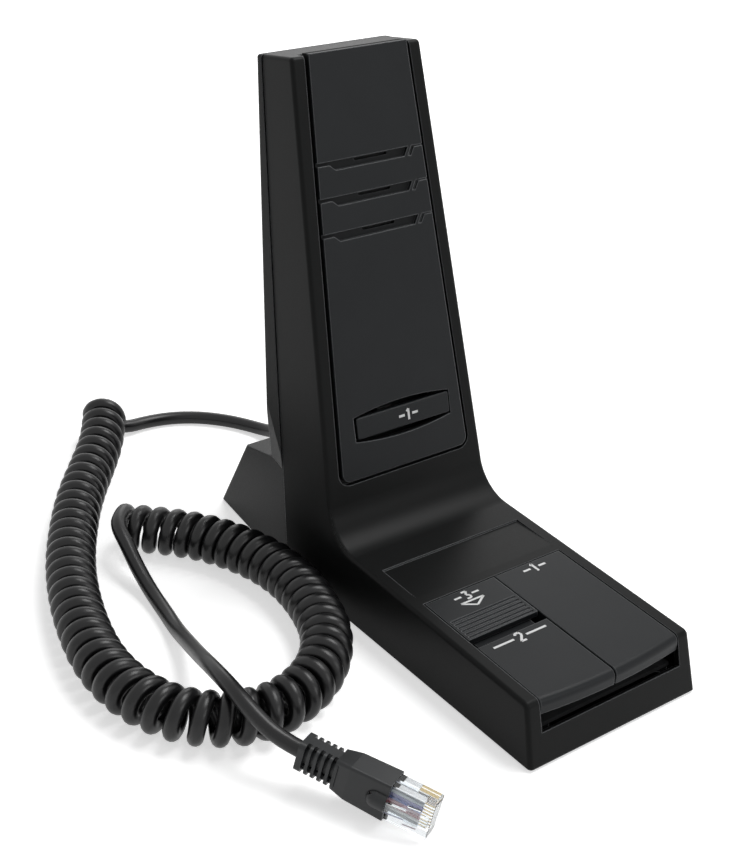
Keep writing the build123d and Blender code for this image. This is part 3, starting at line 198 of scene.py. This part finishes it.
def coil_turns(line, radius, steps):
    """Left-handed turns round a line, from the table side at its start to the top at its end."""
    spans = [(b - a).length for a, b in zip(line, line[1:])]
    total = sum(spans)
    turns = 0.0
    at = 0.0
    for span in spans:
        turns += span / coil_pitch((at + span / 2) / total)
        at += span
    whole = round(turns) + 0.5
    stretch = turns / whole
    points = []
    at = 0.0
    inside = 0.0
    index = 0
    for number in range(int(whole * steps) + 1):
        while index < len(spans) - 1 and inside > spans[index]:
            inside -= spans[index]
            index += 1
        here = line[index].lerp(line[index + 1], min(1.0, inside / spans[index]))
        # The direction is taken over a few points either way, so that no turn is kinked.
        ahead = (line[min(index + 4, len(line) - 1)] - line[max(index - 3, 0)]).normalized()
        side = ahead.cross(Vector((0, 0, 1))).normalized()
        up = side.cross(ahead)
        angle = pi - number * 2 * pi / steps
        points.append(here + (up * cos(angle) + side * sin(angle)) * radius)
        move = coil_pitch(min(1.0, at / total)) * stretch / steps
        at += move
        inside += move
    return points


def in_metres(route):
    """A route's points in metres."""
    return [Vector(point) * MM for point in route]


coil_points = coil_turns(line_of(in_metres(coil_route)), ring_radius * MM, steps_per_turn)
cord_curve = nurbs("curly_cord", in_metres(lead_route) + coil_points + in_metres(tail_route))
cord_curve.splines[0].resolution_u = 4
cord_curve.bevel_depth = cable_diameter / 2 * MM
cord_curve.bevel_resolution = 5
curly_cord = bpy.data.objects.new("curly_cord", cord_curve)
scene.collection.objects.link(curly_cord)
jacket = mottled_surface("satin_polyurethane_jacket", "#0e0e0f", "#161617", "ShaderNodeTexNoise", 0.8, 0.01,
                         (0.28, 0.36), IOR=1.5, **{"Specular IOR Level": 0.35})
cord_curve.materials.append(jacket)
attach(curly_cord, "housing")
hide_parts("cord_lead", "cord_coil", "cord_tail")

# ---------------------------------------------------------------- table and lights
# A broad matt white sheet under a large softbox above the right side, with weaker ones in front
# and behind. The sheet glows on its own: least near the stand, where the lamps leave soft shadows.
sheet_half = 6.0
lit_radius = 0.3
sheet_glow = 0.6             # within that radius; it rises to one at three times the radius
room_light = 0.15            # what the room's walls shed; wherever they are seen they are white
lamp_aim = Vector((0, 0, 0.05))


def seen_white(tree):
    """One for rays to the camera, straight or by way of a gloss or a clear piece; else zero."""
    rays = add_node(tree, "ShaderNodeLightPath")
    mirrored = add_node(tree, "ShaderNodeMath", {"operation": "MAXIMUM"},
                        links={0: rays.outputs["Is Glossy Ray"], 1: rays.outputs["Is Transmission Ray"]})
    return add_node(tree, "ShaderNodeMath", {"operation": "MAXIMUM"},
                    links={0: rays.outputs["Is Camera Ray"], 1: mirrored.outputs[0]}).outputs[0]


def white_sheet():
    """Matt coated paper: faintly mottled, and plain white wherever no shadow falls."""
    material, tree = blank_material("matt_coated_paper")
    place = add_node(tree, "ShaderNodeTexCoord")
    tooth = add_node(tree, "ShaderNodeTexNoise", values={"Scale": per_mm(1.5), "Detail": 2.0},
                     links={"Vector": place.outputs["Object"]})
    tone = add_node(tree, "ShaderNodeMix", {"data_type": "RGBA"},
                    {6: linear("#fbfbfb"), 7: linear("#ffffff")}, {0: tooth.outputs["Fac"]})
    paper = add_node(tree, "ShaderNodeBsdfPrincipled",
                     values={"Roughness": 0.9, "Specular IOR Level": 0.1,
                             "Emission Color": linear("#ffffff")},
                     links={"Base Color": tone.outputs[2]})
    away = add_node(tree, "ShaderNodeVectorMath", {"operation": "LENGTH"},
                    links={0: place.outputs["Object"]})
    lift = add_node(tree, "ShaderNodeMapRange",
                    values={"From Min": lit_radius, "From Max": 3 * lit_radius,
                            "To Min": sheet_glow, "To Max": 1.0},
                    links={"Value": away.outputs["Value"]})
    whitened = add_node(tree, "ShaderNodeMath", {"operation": "MULTIPLY"},
                        links={0: lift.outputs[0], 1: seen_white(tree)})
    tree.links.new(whitened.outputs[0], paper.inputs["Emission Strength"])
    add_node(tree, "ShaderNodeOutputMaterial", links={"Surface": paper.outputs[0]})
    return material


sheet_mesh = bpy.data.meshes.new("table_sheet")
sheet_mesh.from_pydata([(-sheet_half, -sheet_half, 0), (sheet_half, -sheet_half, 0),
                        (sheet_half, sheet_half, 0), (-sheet_half, sheet_half, 0)], [], [(0, 1, 2, 3)])
sheet = bpy.data.objects.new("table_sheet", sheet_mesh)
scene.collection.objects.link(sheet)
sheet_mesh.materials.append(white_sheet())

world = bpy.data.worlds.new("white_studio")
scene.world = world
world.use_nodes = True
room = world.node_tree
room.nodes.clear()
brightness = add_node(room, "ShaderNodeMix", {"data_type": "FLOAT"}, {2: room_light, 3: 1.0},
                      {0: seen_white(room)})
walls = add_node(room, "ShaderNodeBackground", values={"Color": linear("#ffffff")},
                 links={"Strength": brightness.outputs[0]})
add_node(room, "ShaderNodeOutputWorld", links={"Surface": walls.outputs[0]})

for name, place, size, power in (("top_softbox", (0.5, -0.05, 1.25), (0.8, 0.6), 11.0),
                                 ("front_softbox", (0.45, -1.2, 0.7), (0.7, 0.5), 3.0),
                                 ("back_softbox", (0.9, 1.2, 0.75), (0.8, 0.5), 2.5)):
    lamp = bpy.data.lights.new(name, "AREA")
    lamp.shape = "RECTANGLE"
    lamp.size, lamp.size_y = size
    lamp.energy = power
    softbox = bpy.data.objects.new(name, lamp)
    softbox.location = place
    softbox.rotation_euler = (lamp_aim - Vector(place)).to_track_quat("-Z", "Y").to_euler()
    scene.collection.objects.link(softbox)

# ---------------------------------------------------------------- base plate, ballast and feet
# The plate is cut from sheet steel, zinc plated and black passivated; a faint spangle shows.
# A cast-iron block on it keeps the stand steady, and four neoprene feet stop it sliding.
black_zinc = mottled_surface("black_passivated_zinc", "#1f2021", "#2c2d2e", "ShaderNodeTexVoronoi", 4.0, 0.01,
                             (0.38, 0.5), Metallic=0.9)
finish_nodes(black_zinc, "base_plate")
cast_iron = mottled_surface("cast_iron", "#3b3c3e", "#515254", "ShaderNodeTexNoise", 0.9, 0.15,
                            (0.6, 0.75), Metallic=0.8)
finish_nodes(cast_iron, "ballast_weight")
neoprene = mottled_surface("neoprene", "#161617", "#1f1f20", "ShaderNodeTexNoise", 0.6, 0.04,
                           (0.75, 0.88), IOR=1.52)
finish_nodes(neoprene, "rubber_feet", "mic_boot")

# ---------------------------------------------------------------- screws, rod, pin and springs
# Nickel-plated steel: screws cold headed and thread rolled, the rod and pin ground, the springs
# wound from drawn wire. The plating is bright, with a fine turned grain.
nickel = mottled_surface("nickel_plated_steel", "#b4b0a9", "#cbc7c0", "ShaderNodeTexNoise", 0.25, 0.01,
                         (0.2, 0.32), Metallic=1.0)
finish_nodes(nickel, "base_screws", "cover_screws", "frame_screws", "board_screws", "column_board_screws",
             "clamp_screws", "pivot_rod", "key_pin")
spring_turns = 8
spring_wire = 0.5
spring_across = 4.8          # between the wire's centres
spring_low = 10.75
spring_high = 19.71
spring_x = 14.5              # to the right of the middle for one key, to the left for the other
spring_y = -69.0
end_turns = 0.9              # lying nearly flat at each end


def return_spring(name, node, x):
    """Compression spring with a closed turn at each end, on a mesh of its own; the real one shortens as its
    key goes down.
    """
    wire = []
    for number in range(spring_turns * steps_per_turn + 1):
        turn = number / steps_per_turn
        climb = max(0.0, min(1.0, (turn - end_turns) / (spring_turns - 2 * end_turns)))
        angle = 2 * pi * turn
        wire.append(Vector((x + spring_across / 2 * cos(angle), spring_y + spring_across / 2 * sin(angle),
                            spring_low + (spring_high - spring_low) * climb)) * MM)
    curve = nurbs(name, wire)
    curve.splines[0].resolution_u = 3
    curve.bevel_depth = spring_wire / 2 * MM
    curve.bevel_resolution = 2
    curve.use_fill_caps = True
    drawn = bpy.data.objects.new(name, curve)
    scene.collection.objects.link(drawn)
    bpy.context.view_layer.update()
    mesh = bpy.data.meshes.new_from_object(drawn)
    bpy.data.objects.remove(drawn)
    bpy.data.curves.remove(curve)
    spring = bpy.data.objects.new(name, mesh)
    scene.collection.objects.link(spring)
    mesh.materials.clear()
    mesh.materials.append(nickel)
    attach(spring, "housing")
    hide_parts(node)
    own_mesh(spring)


return_spring("ptt_return_spring", "ptt_spring", spring_x)
return_spring("monitor_return_spring", "monitor_spring", -spring_x)

# ---------------------------------------------------------------- circuit boards and what they carry
# Epoxy-glass boards under black solder mask, whose glass weave just shows through. The switches
# are moulded polyamide with white acetal plungers, and the cord's header is natural nylon.
glass_weave = 0.55


def solder_mask():
    """Glossy black mask over a woven glass laminate."""
    material, tree = blank_material("black_solder_mask")
    place = add_node(tree, "ShaderNodeTexCoord")
    bands = [add_node(tree, "ShaderNodeTexWave", {"bands_direction": way},
                      {"Scale": per_mm(glass_weave) / 20}, {"Vector": place.outputs["Object"]})
             for way in ("X", "Y")]
    weave = add_node(tree, "ShaderNodeMath", {"operation": "MAXIMUM"},
                     links={0: bands[0].outputs["Fac"], 1: bands[1].outputs["Fac"]})
    tone = add_node(tree, "ShaderNodeMix", {"data_type": "RGBA"},
                    {6: linear("#0a0d0c"), 7: linear("#101513")}, {0: weave.outputs[0]})
    relief = add_node(tree, "ShaderNodeBump", values={"Strength": 0.4, "Distance": 0.02 * MM},
                      links={"Height": weave.outputs[0]})
    mask = add_node(tree, "ShaderNodeBsdfPrincipled", values={"Roughness": 0.3, "IOR": 1.55},
                    links={"Base Color": tone.outputs[2], "Normal": relief.outputs[0]})
    add_node(tree, "ShaderNodeOutputMaterial", links={"Surface": mask.outputs[0]})
    return material


finish_nodes(solder_mask(), "main_board", "column_board")
polyamide = mottled_surface("black_polyamide", "#131314", "#1b1b1c", "ShaderNodeTexNoise", 0.3, 0.01,
                            (0.5, 0.6), IOR=1.53)
finish_nodes(polyamide, "ptt_switch", "monitor_switch", "column_switch", "lock_switch")
acetal = mottled_surface("white_acetal", "#d9d6cd", "#e4e1d9", "ShaderNodeTexNoise", 0.5, 0.005,
                         (0.32, 0.4), IOR=1.48)
finish_nodes(acetal, "ptt_plunger", "monitor_plunger", "column_plunger")
natural_nylon = mottled_surface("natural_nylon", "#ddd3bb", "#e8dfc9", "ShaderNodeTexNoise", 0.6, 0.005,
                                (0.38, 0.48), IOR=1.53)
finish_nodes(natural_nylon, "cord_header")

# ---------------------------------------------------------------- key frame, knob and cord clamp
# Glass-filled nylon mouldings, a shade greyer and duller than the housing. The short fibres
# leave a fine random speckle.
filled_nylon = mottled_surface("glass_filled_nylon", "#161718", "#202122", "ShaderNodeTexNoise", 0.35, 0.03,
                               (0.55, 0.68), IOR=1.53)
finish_nodes(filled_nylon, "button_frame", "lock_knob", "cord_clamp")

# ---------------------------------------------------------------- housing, front panel and keys
# Injection-moulded black ABS. The moulds were spark eroded, so the skin has a fine matt grain
# that spreads reflections into a soft sheen; the panel and keys are a shade finer.
shell_grain = 0.5
key_grain = 0.4
cloud_size = 18.0
edge_softness = 0.6
edge_highlight_strength = 0.7              # how far the sharpest edges go towards the painted highlight grey
recess_depth = 0.6           # over which a louvre's wall fades into the painted shade and rough skin of its floor


def moulded_abs(name, dark, light, grain_mm, rough, gloss_level, recess=None):
    """Spark-eroded ABS skin: fine grain, slight cloudiness and sharp edges lightened by a painted highlight.

    A recess is an outward direction and a height along it in metres: below that the skin is rougher and
    darkened with painted shade.
    """
    material, tree = blank_material(name)
    place = add_node(tree, "ShaderNodeTexCoord")
    grain = add_node(tree, "ShaderNodeTexNoise",
                     values={"Scale": per_mm(grain_mm), "Detail": 3.0, "Roughness": 0.6},
                     links={"Vector": place.outputs["Object"]})
    cloud = add_node(tree, "ShaderNodeTexNoise", values={"Scale": per_mm(cloud_size), "Detail": 2.0},
                     links={"Vector": place.outputs["Object"]})
    tone = add_node(tree, "ShaderNodeMix", {"data_type": "RGBA"}, {6: linear(dark), 7: linear(light)},
                    {0: cloud.outputs["Fac"]})
    gloss = add_node(tree, "ShaderNodeMapRange",
                     values={"From Min": 0.3, "From Max": 0.7, "To Min": rough - 0.05,
                             "To Max": rough + 0.05},
                     links={"Value": grain.outputs["Fac"]})
    edge = add_node(tree, "ShaderNodeBevel", {"samples": 6}, {"Radius": edge_softness * MM})
    flat = add_node(tree, "ShaderNodeNewGeometry")
    facing = add_node(tree, "ShaderNodeVectorMath", {"operation": "DOT_PRODUCT"},
                      links={0: edge.outputs[0], 1: flat.outputs["True Normal"]})
    # Painted highlight: where the bevelled normal turns from the true normal, at the sharpest edges, the
    # colour is mixed towards light grey.
    edge_highlight_mask = add_node(tree, "ShaderNodeMapRange",
                      values={"From Min": 0.88, "From Max": 0.99, "To Min": edge_highlight_strength, "To Max": 0.0},
                      links={"Value": facing.outputs["Value"]})
    relief = add_node(tree, "ShaderNodeBump", values={"Strength": 0.5, "Distance": 0.03 * MM},
                      links={"Height": grain.outputs["Fac"], "Normal": edge.outputs[0]})
    edge_highlighted = add_node(tree, "ShaderNodeMix", {"data_type": "RGBA"}, {7: linear("#7a7c7e")},
                    {0: edge_highlight_mask.outputs[0], 6: tone.outputs[2]})
    colour = edge_highlighted.outputs[2]
    roughness = gloss.outputs[0]
    if recess:
        outward, level = recess
        height = add_node(tree, "ShaderNodeVectorMath", {"operation": "DOT_PRODUCT"}, {1: outward},
                          {0: place.outputs["Object"]})
        # Painted shade: below the level, the skin is darkened towards near black. It is also made rougher.
        recess_shade_and_roughness = add_node(tree, "ShaderNodeMapRange",
                          values={"From Min": level - recess_depth * MM, "From Max": level,
                                  "To Min": 1.0, "To Max": 0.0},
                          links={"Value": height.outputs["Value"]})
        painted_recess_shade = add_node(tree, "ShaderNodeMix", {"data_type": "RGBA"}, {7: linear("#040404")},
                          {0: recess_shade_and_roughness.outputs[0], 6: colour})
        rougher = add_node(tree, "ShaderNodeMix", {"data_type": "FLOAT"}, {3: 0.85},
                           {0: recess_shade_and_roughness.outputs[0], 2: roughness})
        colour = painted_recess_shade.outputs[2]
        roughness = rougher.outputs[0]
    skin = add_node(tree, "ShaderNodeBsdfPrincipled", values={"IOR": 1.5, "Specular IOR Level": gloss_level},
                    links={"Base Color": colour, "Roughness": roughness, "Normal": relief.outputs[0]})
    add_node(tree, "ShaderNodeOutputMaterial", links={"Surface": skin.outputs[0]})
    return material


column_lean = radians(14.95)
column_up = Vector((0, sin(column_lean), cos(column_lean)))
column_out = Vector((0, -cos(column_lean), sin(column_lean)))
column_foot = Vector((0, 6.3, 1.0))      # where the column's face, carried down, meets the underside
face_level = (column_foot * MM).dot(column_out)
louvre_top = 0.4             # how far below the column's face the louvres' painted shade and rougher skin begin
finish_nodes(moulded_abs("spark_eroded_abs", "#090a0a", "#0e0f0f", shell_grain, 0.4, 0.1),
             "front_shell", "rear_cover")
finish_nodes(moulded_abs("louvred_abs", "#16181a", "#1d1f21", key_grain, 0.4, 0.16,
                         (column_out, face_level - louvre_top * MM)), "front_panel")
finish_nodes(moulded_abs("fine_grained_abs", "#16181a", "#1d1f21", key_grain, 0.4, 0.16),
             "column_key", "ptt_button", "monitor_button", "lock_slider")

# ---------------------------------------------------------------- printed marks
# White pad-printed ink on the keys: plain numbers between short bars, and the arrow that shows
# which way the lock slides. The ink lies a few hundredths of a millimetre proud.
ink_proud = 0.03
ink_thick = 0.03
deck_slope = radians(1.95)
deck_rise = 0.03405          # millimetres up for each one back, which is the same slope
deck_edge_y = -85.58
deck_edge_z = 21.3


def printing_ink():
    """Matt white ink, slightly uneven where the pad laid it thinner."""
    material, tree = blank_material("white_pad_printing_ink")
    place = add_node(tree, "ShaderNodeTexCoord")
    patch = add_node(tree, "ShaderNodeTexNoise", values={"Scale": per_mm(0.8), "Detail": 2.0},
                     links={"Vector": place.outputs["Object"]})
    tone = add_node(tree, "ShaderNodeMix", {"data_type": "RGBA"},
                    {6: linear("#dcdcdc"), 7: linear("#f2f2f2")}, {0: patch.outputs["Fac"]})
    ink = add_node(tree, "ShaderNodeBsdfPrincipled", values={"Roughness": 0.55, "IOR": 1.45},
                   links={"Base Color": tone.outputs[2]})
    add_node(tree, "ShaderNodeOutputMaterial", links={"Surface": ink.outputs[0]})
    return material


white_ink = printing_ink()


def face_frame(origin, lean_back):
    """Frame on a face that leans back from level: x to the right, y up the face, z outwards."""
    tilt = Matrix.Rotation(lean_back, 4, "X")
    return Matrix.Translation(Vector(origin) * MM) @ tilt


def bar(centre, size):
    """Rectangle outline in millimetres."""
    x, y = centre
    w, h = size[0] / 2, size[1] / 2
    return [(x - w, y - h), (x + w, y - h), (x + w, y + h), (x - w, y + h)]


def stroke(start, stop, width):
    """Straight stroke of a pen between two points."""
    along = Vector((stop[0] - start[0], stop[1] - start[1])).normalized()
    across = Vector((-along.y, along.x)) * width / 2
    return [(start[0] - across.x, start[1] - across.y), (stop[0] - across.x, stop[1] - across.y),
            (stop[0] + across.x, stop[1] + across.y), (start[0] + across.x, start[1] + across.y)]


def digit(number, centre, height, width):
    """A plain number drawn with straight strokes."""
    x, y = centre
    w, h = height * 0.27, height / 2
    routes = {1: [(-0.6 * w, 0.55 * h), (0.1 * w, h), (0.1 * w, -h)],
              2: [(-w, 0.62 * h), (-0.62 * w, h), (0.62 * w, h), (w, 0.66 * h), (w, 0.3 * h),
                  (-w, -h), (w, -h)],
              3: [(-w, h), (w, h), (-0.1 * w, 0.1 * h), (w, -0.3 * h), (w, -0.66 * h),
                  (0.6 * w, -h), (-w, -h)]}
    route = [(x + a, y + b) for a, b in routes[number]]
    return [stroke(a, b, width) for a, b in zip(route, route[1:])]


def print_mark(name, outlines, place, body):
    """Ink film over a key, made of flat outlines with a little thickness."""
    vertices = []
    faces = []
    for outline in outlines:
        first = len(vertices)
        count = len(outline)
        for z in (ink_proud, ink_proud + ink_thick):
            vertices += [(x * MM, y * MM, z * MM) for x, y in outline]
        faces.append(tuple(range(first + count, first + 2 * count)))
        faces.append(tuple(reversed(range(first, first + count))))
        for index in range(count):
            after = (index + 1) % count
            faces.append((first + index, first + after, first + count + after, first + count + index))
    mesh = bpy.data.meshes.new(name)
    mesh.from_pydata(vertices, [], faces)
    mesh.transform(place)
    mesh.materials.append(white_ink)
    mark = bpy.data.objects.new(name, mesh)
    scene.collection.objects.link(mark)
    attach(mark, body)


def deck_frame(x, y):
    """Frame on the deck keys' tops."""
    return face_frame((x, y, deck_edge_z + deck_rise * (y - deck_edge_y)), deck_slope)


def number_mark(number, centre, height, width, bar_reach, bar_length):
    """Outlines of a number with a short bar on either side of it."""
    x, y = centre
    return digit(number, centre, height, width) + [bar((x - bar_reach, y), (bar_length, width)),
                                                   bar((x + bar_reach, y), (bar_length, width))]


arrow = [(-4.6, -1.6), (4.6, -1.6), (0, -4.4)]
print_mark("slider_mark", number_mark(3, (0, 1.4), 3.5, 0.8, 3.6, 2.8)
           + [stroke(a, b, 0.75) for a, b in zip(arrow, arrow[1:] + arrow[:1])],
           deck_frame(-14.2, -35.6), "lock")
print_mark("monitor_mark", number_mark(2, (0, 0), 3.9, 0.85, 6.6, 8.2),
           deck_frame(-13.9, -59.9), "monitor_key")
print_mark("ptt_mark", number_mark(1, (0, 0), 4.2, 0.9, 3.3, 3.0),
           deck_frame(14.9, -34.2), "ptt_key")
column_mark_right = 2.95
column_mark_up = 59.8
column_key_proud = 0.5       # of the column's face
column_key_face = (column_foot + Vector((column_mark_right, 0, 0)) + column_up * column_mark_up
                   + column_out * column_key_proud)
print_mark("column_key_mark", number_mark(1, (0, 0), 3.8, 0.85, 2.8, 2.4),
           face_frame(column_key_face, radians(90) - column_lean), "talk_key")

# ---------------------------------------------------------------- capsule, cloth and inner wires
# The electret capsule is a drawn aluminium can held in a soft boot. Acoustic cloth behind the
# louvres keeps dust out, and PVC-covered wires join the boards.
drawn_aluminium = mottled_surface("drawn_aluminium", "#b9babc", "#cfd0d1", "ShaderNodeTexNoise", 0.2, 0.005,
                                  (0.25, 0.35), Metallic=1.0)
finish_nodes(drawn_aluminium, "mic_capsule")
acoustic_cloth = mottled_surface("acoustic_cloth", "#0b0b0c", "#141415", "ShaderNodeTexVoronoi", 0.5, 0.15,
                                 (0.85, 0.95), IOR=1.45)
finish_nodes(acoustic_cloth, "sound_cloth")
wire_pvc = mottled_surface("grey_pvc_insulation", "#2a2a2c", "#343437", "ShaderNodeTexNoise", 0.6, 0.01,
                           (0.45, 0.55), IOR=1.53)
finish_nodes(wire_pvc, "column_wires", "mic_wires")

# ---------------------------------------------------------------- strain relief and plug boot
# Soft PVC moulded over the cable: the relief at the stand with flexing grooves, the boot on the
# plug with a comb of slots. PVC comes out of a polished mould with a smooth, waxy sheen.
finish_nodes(jacket, "cord_inner")
soft_pvc = mottled_surface("soft_black_pvc", "#191b1c", "#222426", "ShaderNodeTexNoise", 0.7, 0.02,
                           (0.34, 0.46), IOR=1.53, **{"Specular IOR Level": 0.35})
finish_nodes(soft_pvc, "cord_relief", "plug_boot")

# ---------------------------------------------------------------- clear plug
# Modular plug moulded in clear polycarbonate with its springy latch. Eight gold-flashed bronze
# blades are pressed through the insulation of the coloured conductors inside it.
conductor_spacing = 1.02
plug_wide = Vector((0.194333, -0.074844, 0.978076))      # across the row of conductors
plug_point = Vector((-80, -83, 8.4)) * MM                # middle of the boot's front


def clear_polycarbonate():
    """Water-clear moulding with the faintest flow lines and a cold grey tint."""
    material, tree = blank_material("clear_polycarbonate")
    place = add_node(tree, "ShaderNodeTexCoord")
    flow = add_node(tree, "ShaderNodeTexNoise", values={"Scale": per_mm(4.0), "Detail": 1.0},
                    links={"Vector": place.outputs["Object"]})
    tone = add_node(tree, "ShaderNodeMix", {"data_type": "RGBA"},
                    {6: linear("#e9eef2"), 7: linear("#f5f7f8")}, {0: flow.outputs["Fac"]})
    relief = add_node(tree, "ShaderNodeBump", values={"Strength": 0.2, "Distance": 0.05 * MM},
                      links={"Height": flow.outputs["Fac"]})
    resin = add_node(tree, "ShaderNodeBsdfPrincipled",
                     values={"Roughness": 0.04, "IOR": 1.585, "Transmission Weight": 1.0},
                     links={"Base Color": tone.outputs[2], "Normal": relief.outputs[0]})
    add_node(tree, "ShaderNodeOutputMaterial", links={"Surface": resin.outputs[0]})
    return material


finish_nodes(clear_polycarbonate(), "plug_body", "plug_latch")
gold_flash = mottled_surface("gold_flashed_bronze", "#dcbd7c", "#efd79f", "ShaderNodeTexNoise", 0.3, 0.005,
                             (0.18, 0.28), Metallic=1.0)
finish_nodes(gold_flash, "plug_contacts")


def conductor_pvc():
    """Insulation in one colour for each core, chosen by the core's place across the plug."""
    material, tree = blank_material("coloured_pvc_insulation")
    place = add_node(tree, "ShaderNodeTexCoord")
    apart = add_node(tree, "ShaderNodeVectorMath", {"operation": "SUBTRACT"},
                     links={0: place.outputs["Object"]})
    apart.inputs[1].default_value = plug_point
    across = add_node(tree, "ShaderNodeVectorMath", {"operation": "DOT_PRODUCT"}, links={0: apart.outputs[0]})
    across.inputs[1].default_value = plug_wide
    share = add_node(tree, "ShaderNodeMapRange",
                     values={"From Min": -4 * conductor_spacing * MM,
                             "From Max": 4 * conductor_spacing * MM},
                     links={"Value": across.outputs["Value"]})
    cores = add_node(tree, "ShaderNodeValToRGB", links={"Fac": share.outputs[0]})
    cores.color_ramp.interpolation = "CONSTANT"
    colours = ("#8f9296", "#ecebe6", "#c77f86", "#e0b3bb", "#8f98cc", "#b3aed6", "#e6ebee", "#9b9ea3")
    for index, colour in enumerate(colours):
        stop = cores.color_ramp.elements[index] if index < 2 else cores.color_ramp.elements.new(index / 8)
        stop.position = index / 8
        stop.color = linear(colour)
    pvc = add_node(tree, "ShaderNodeBsdfPrincipled", values={"Roughness": 0.4, "IOR": 1.53},
                   links={"Base Color": cores.outputs["Color"]})
    add_node(tree, "ShaderNodeOutputMaterial", links={"Surface": pvc.outputs[0]})
    return material


finish_nodes(conductor_pvc(), "plug_conductors")
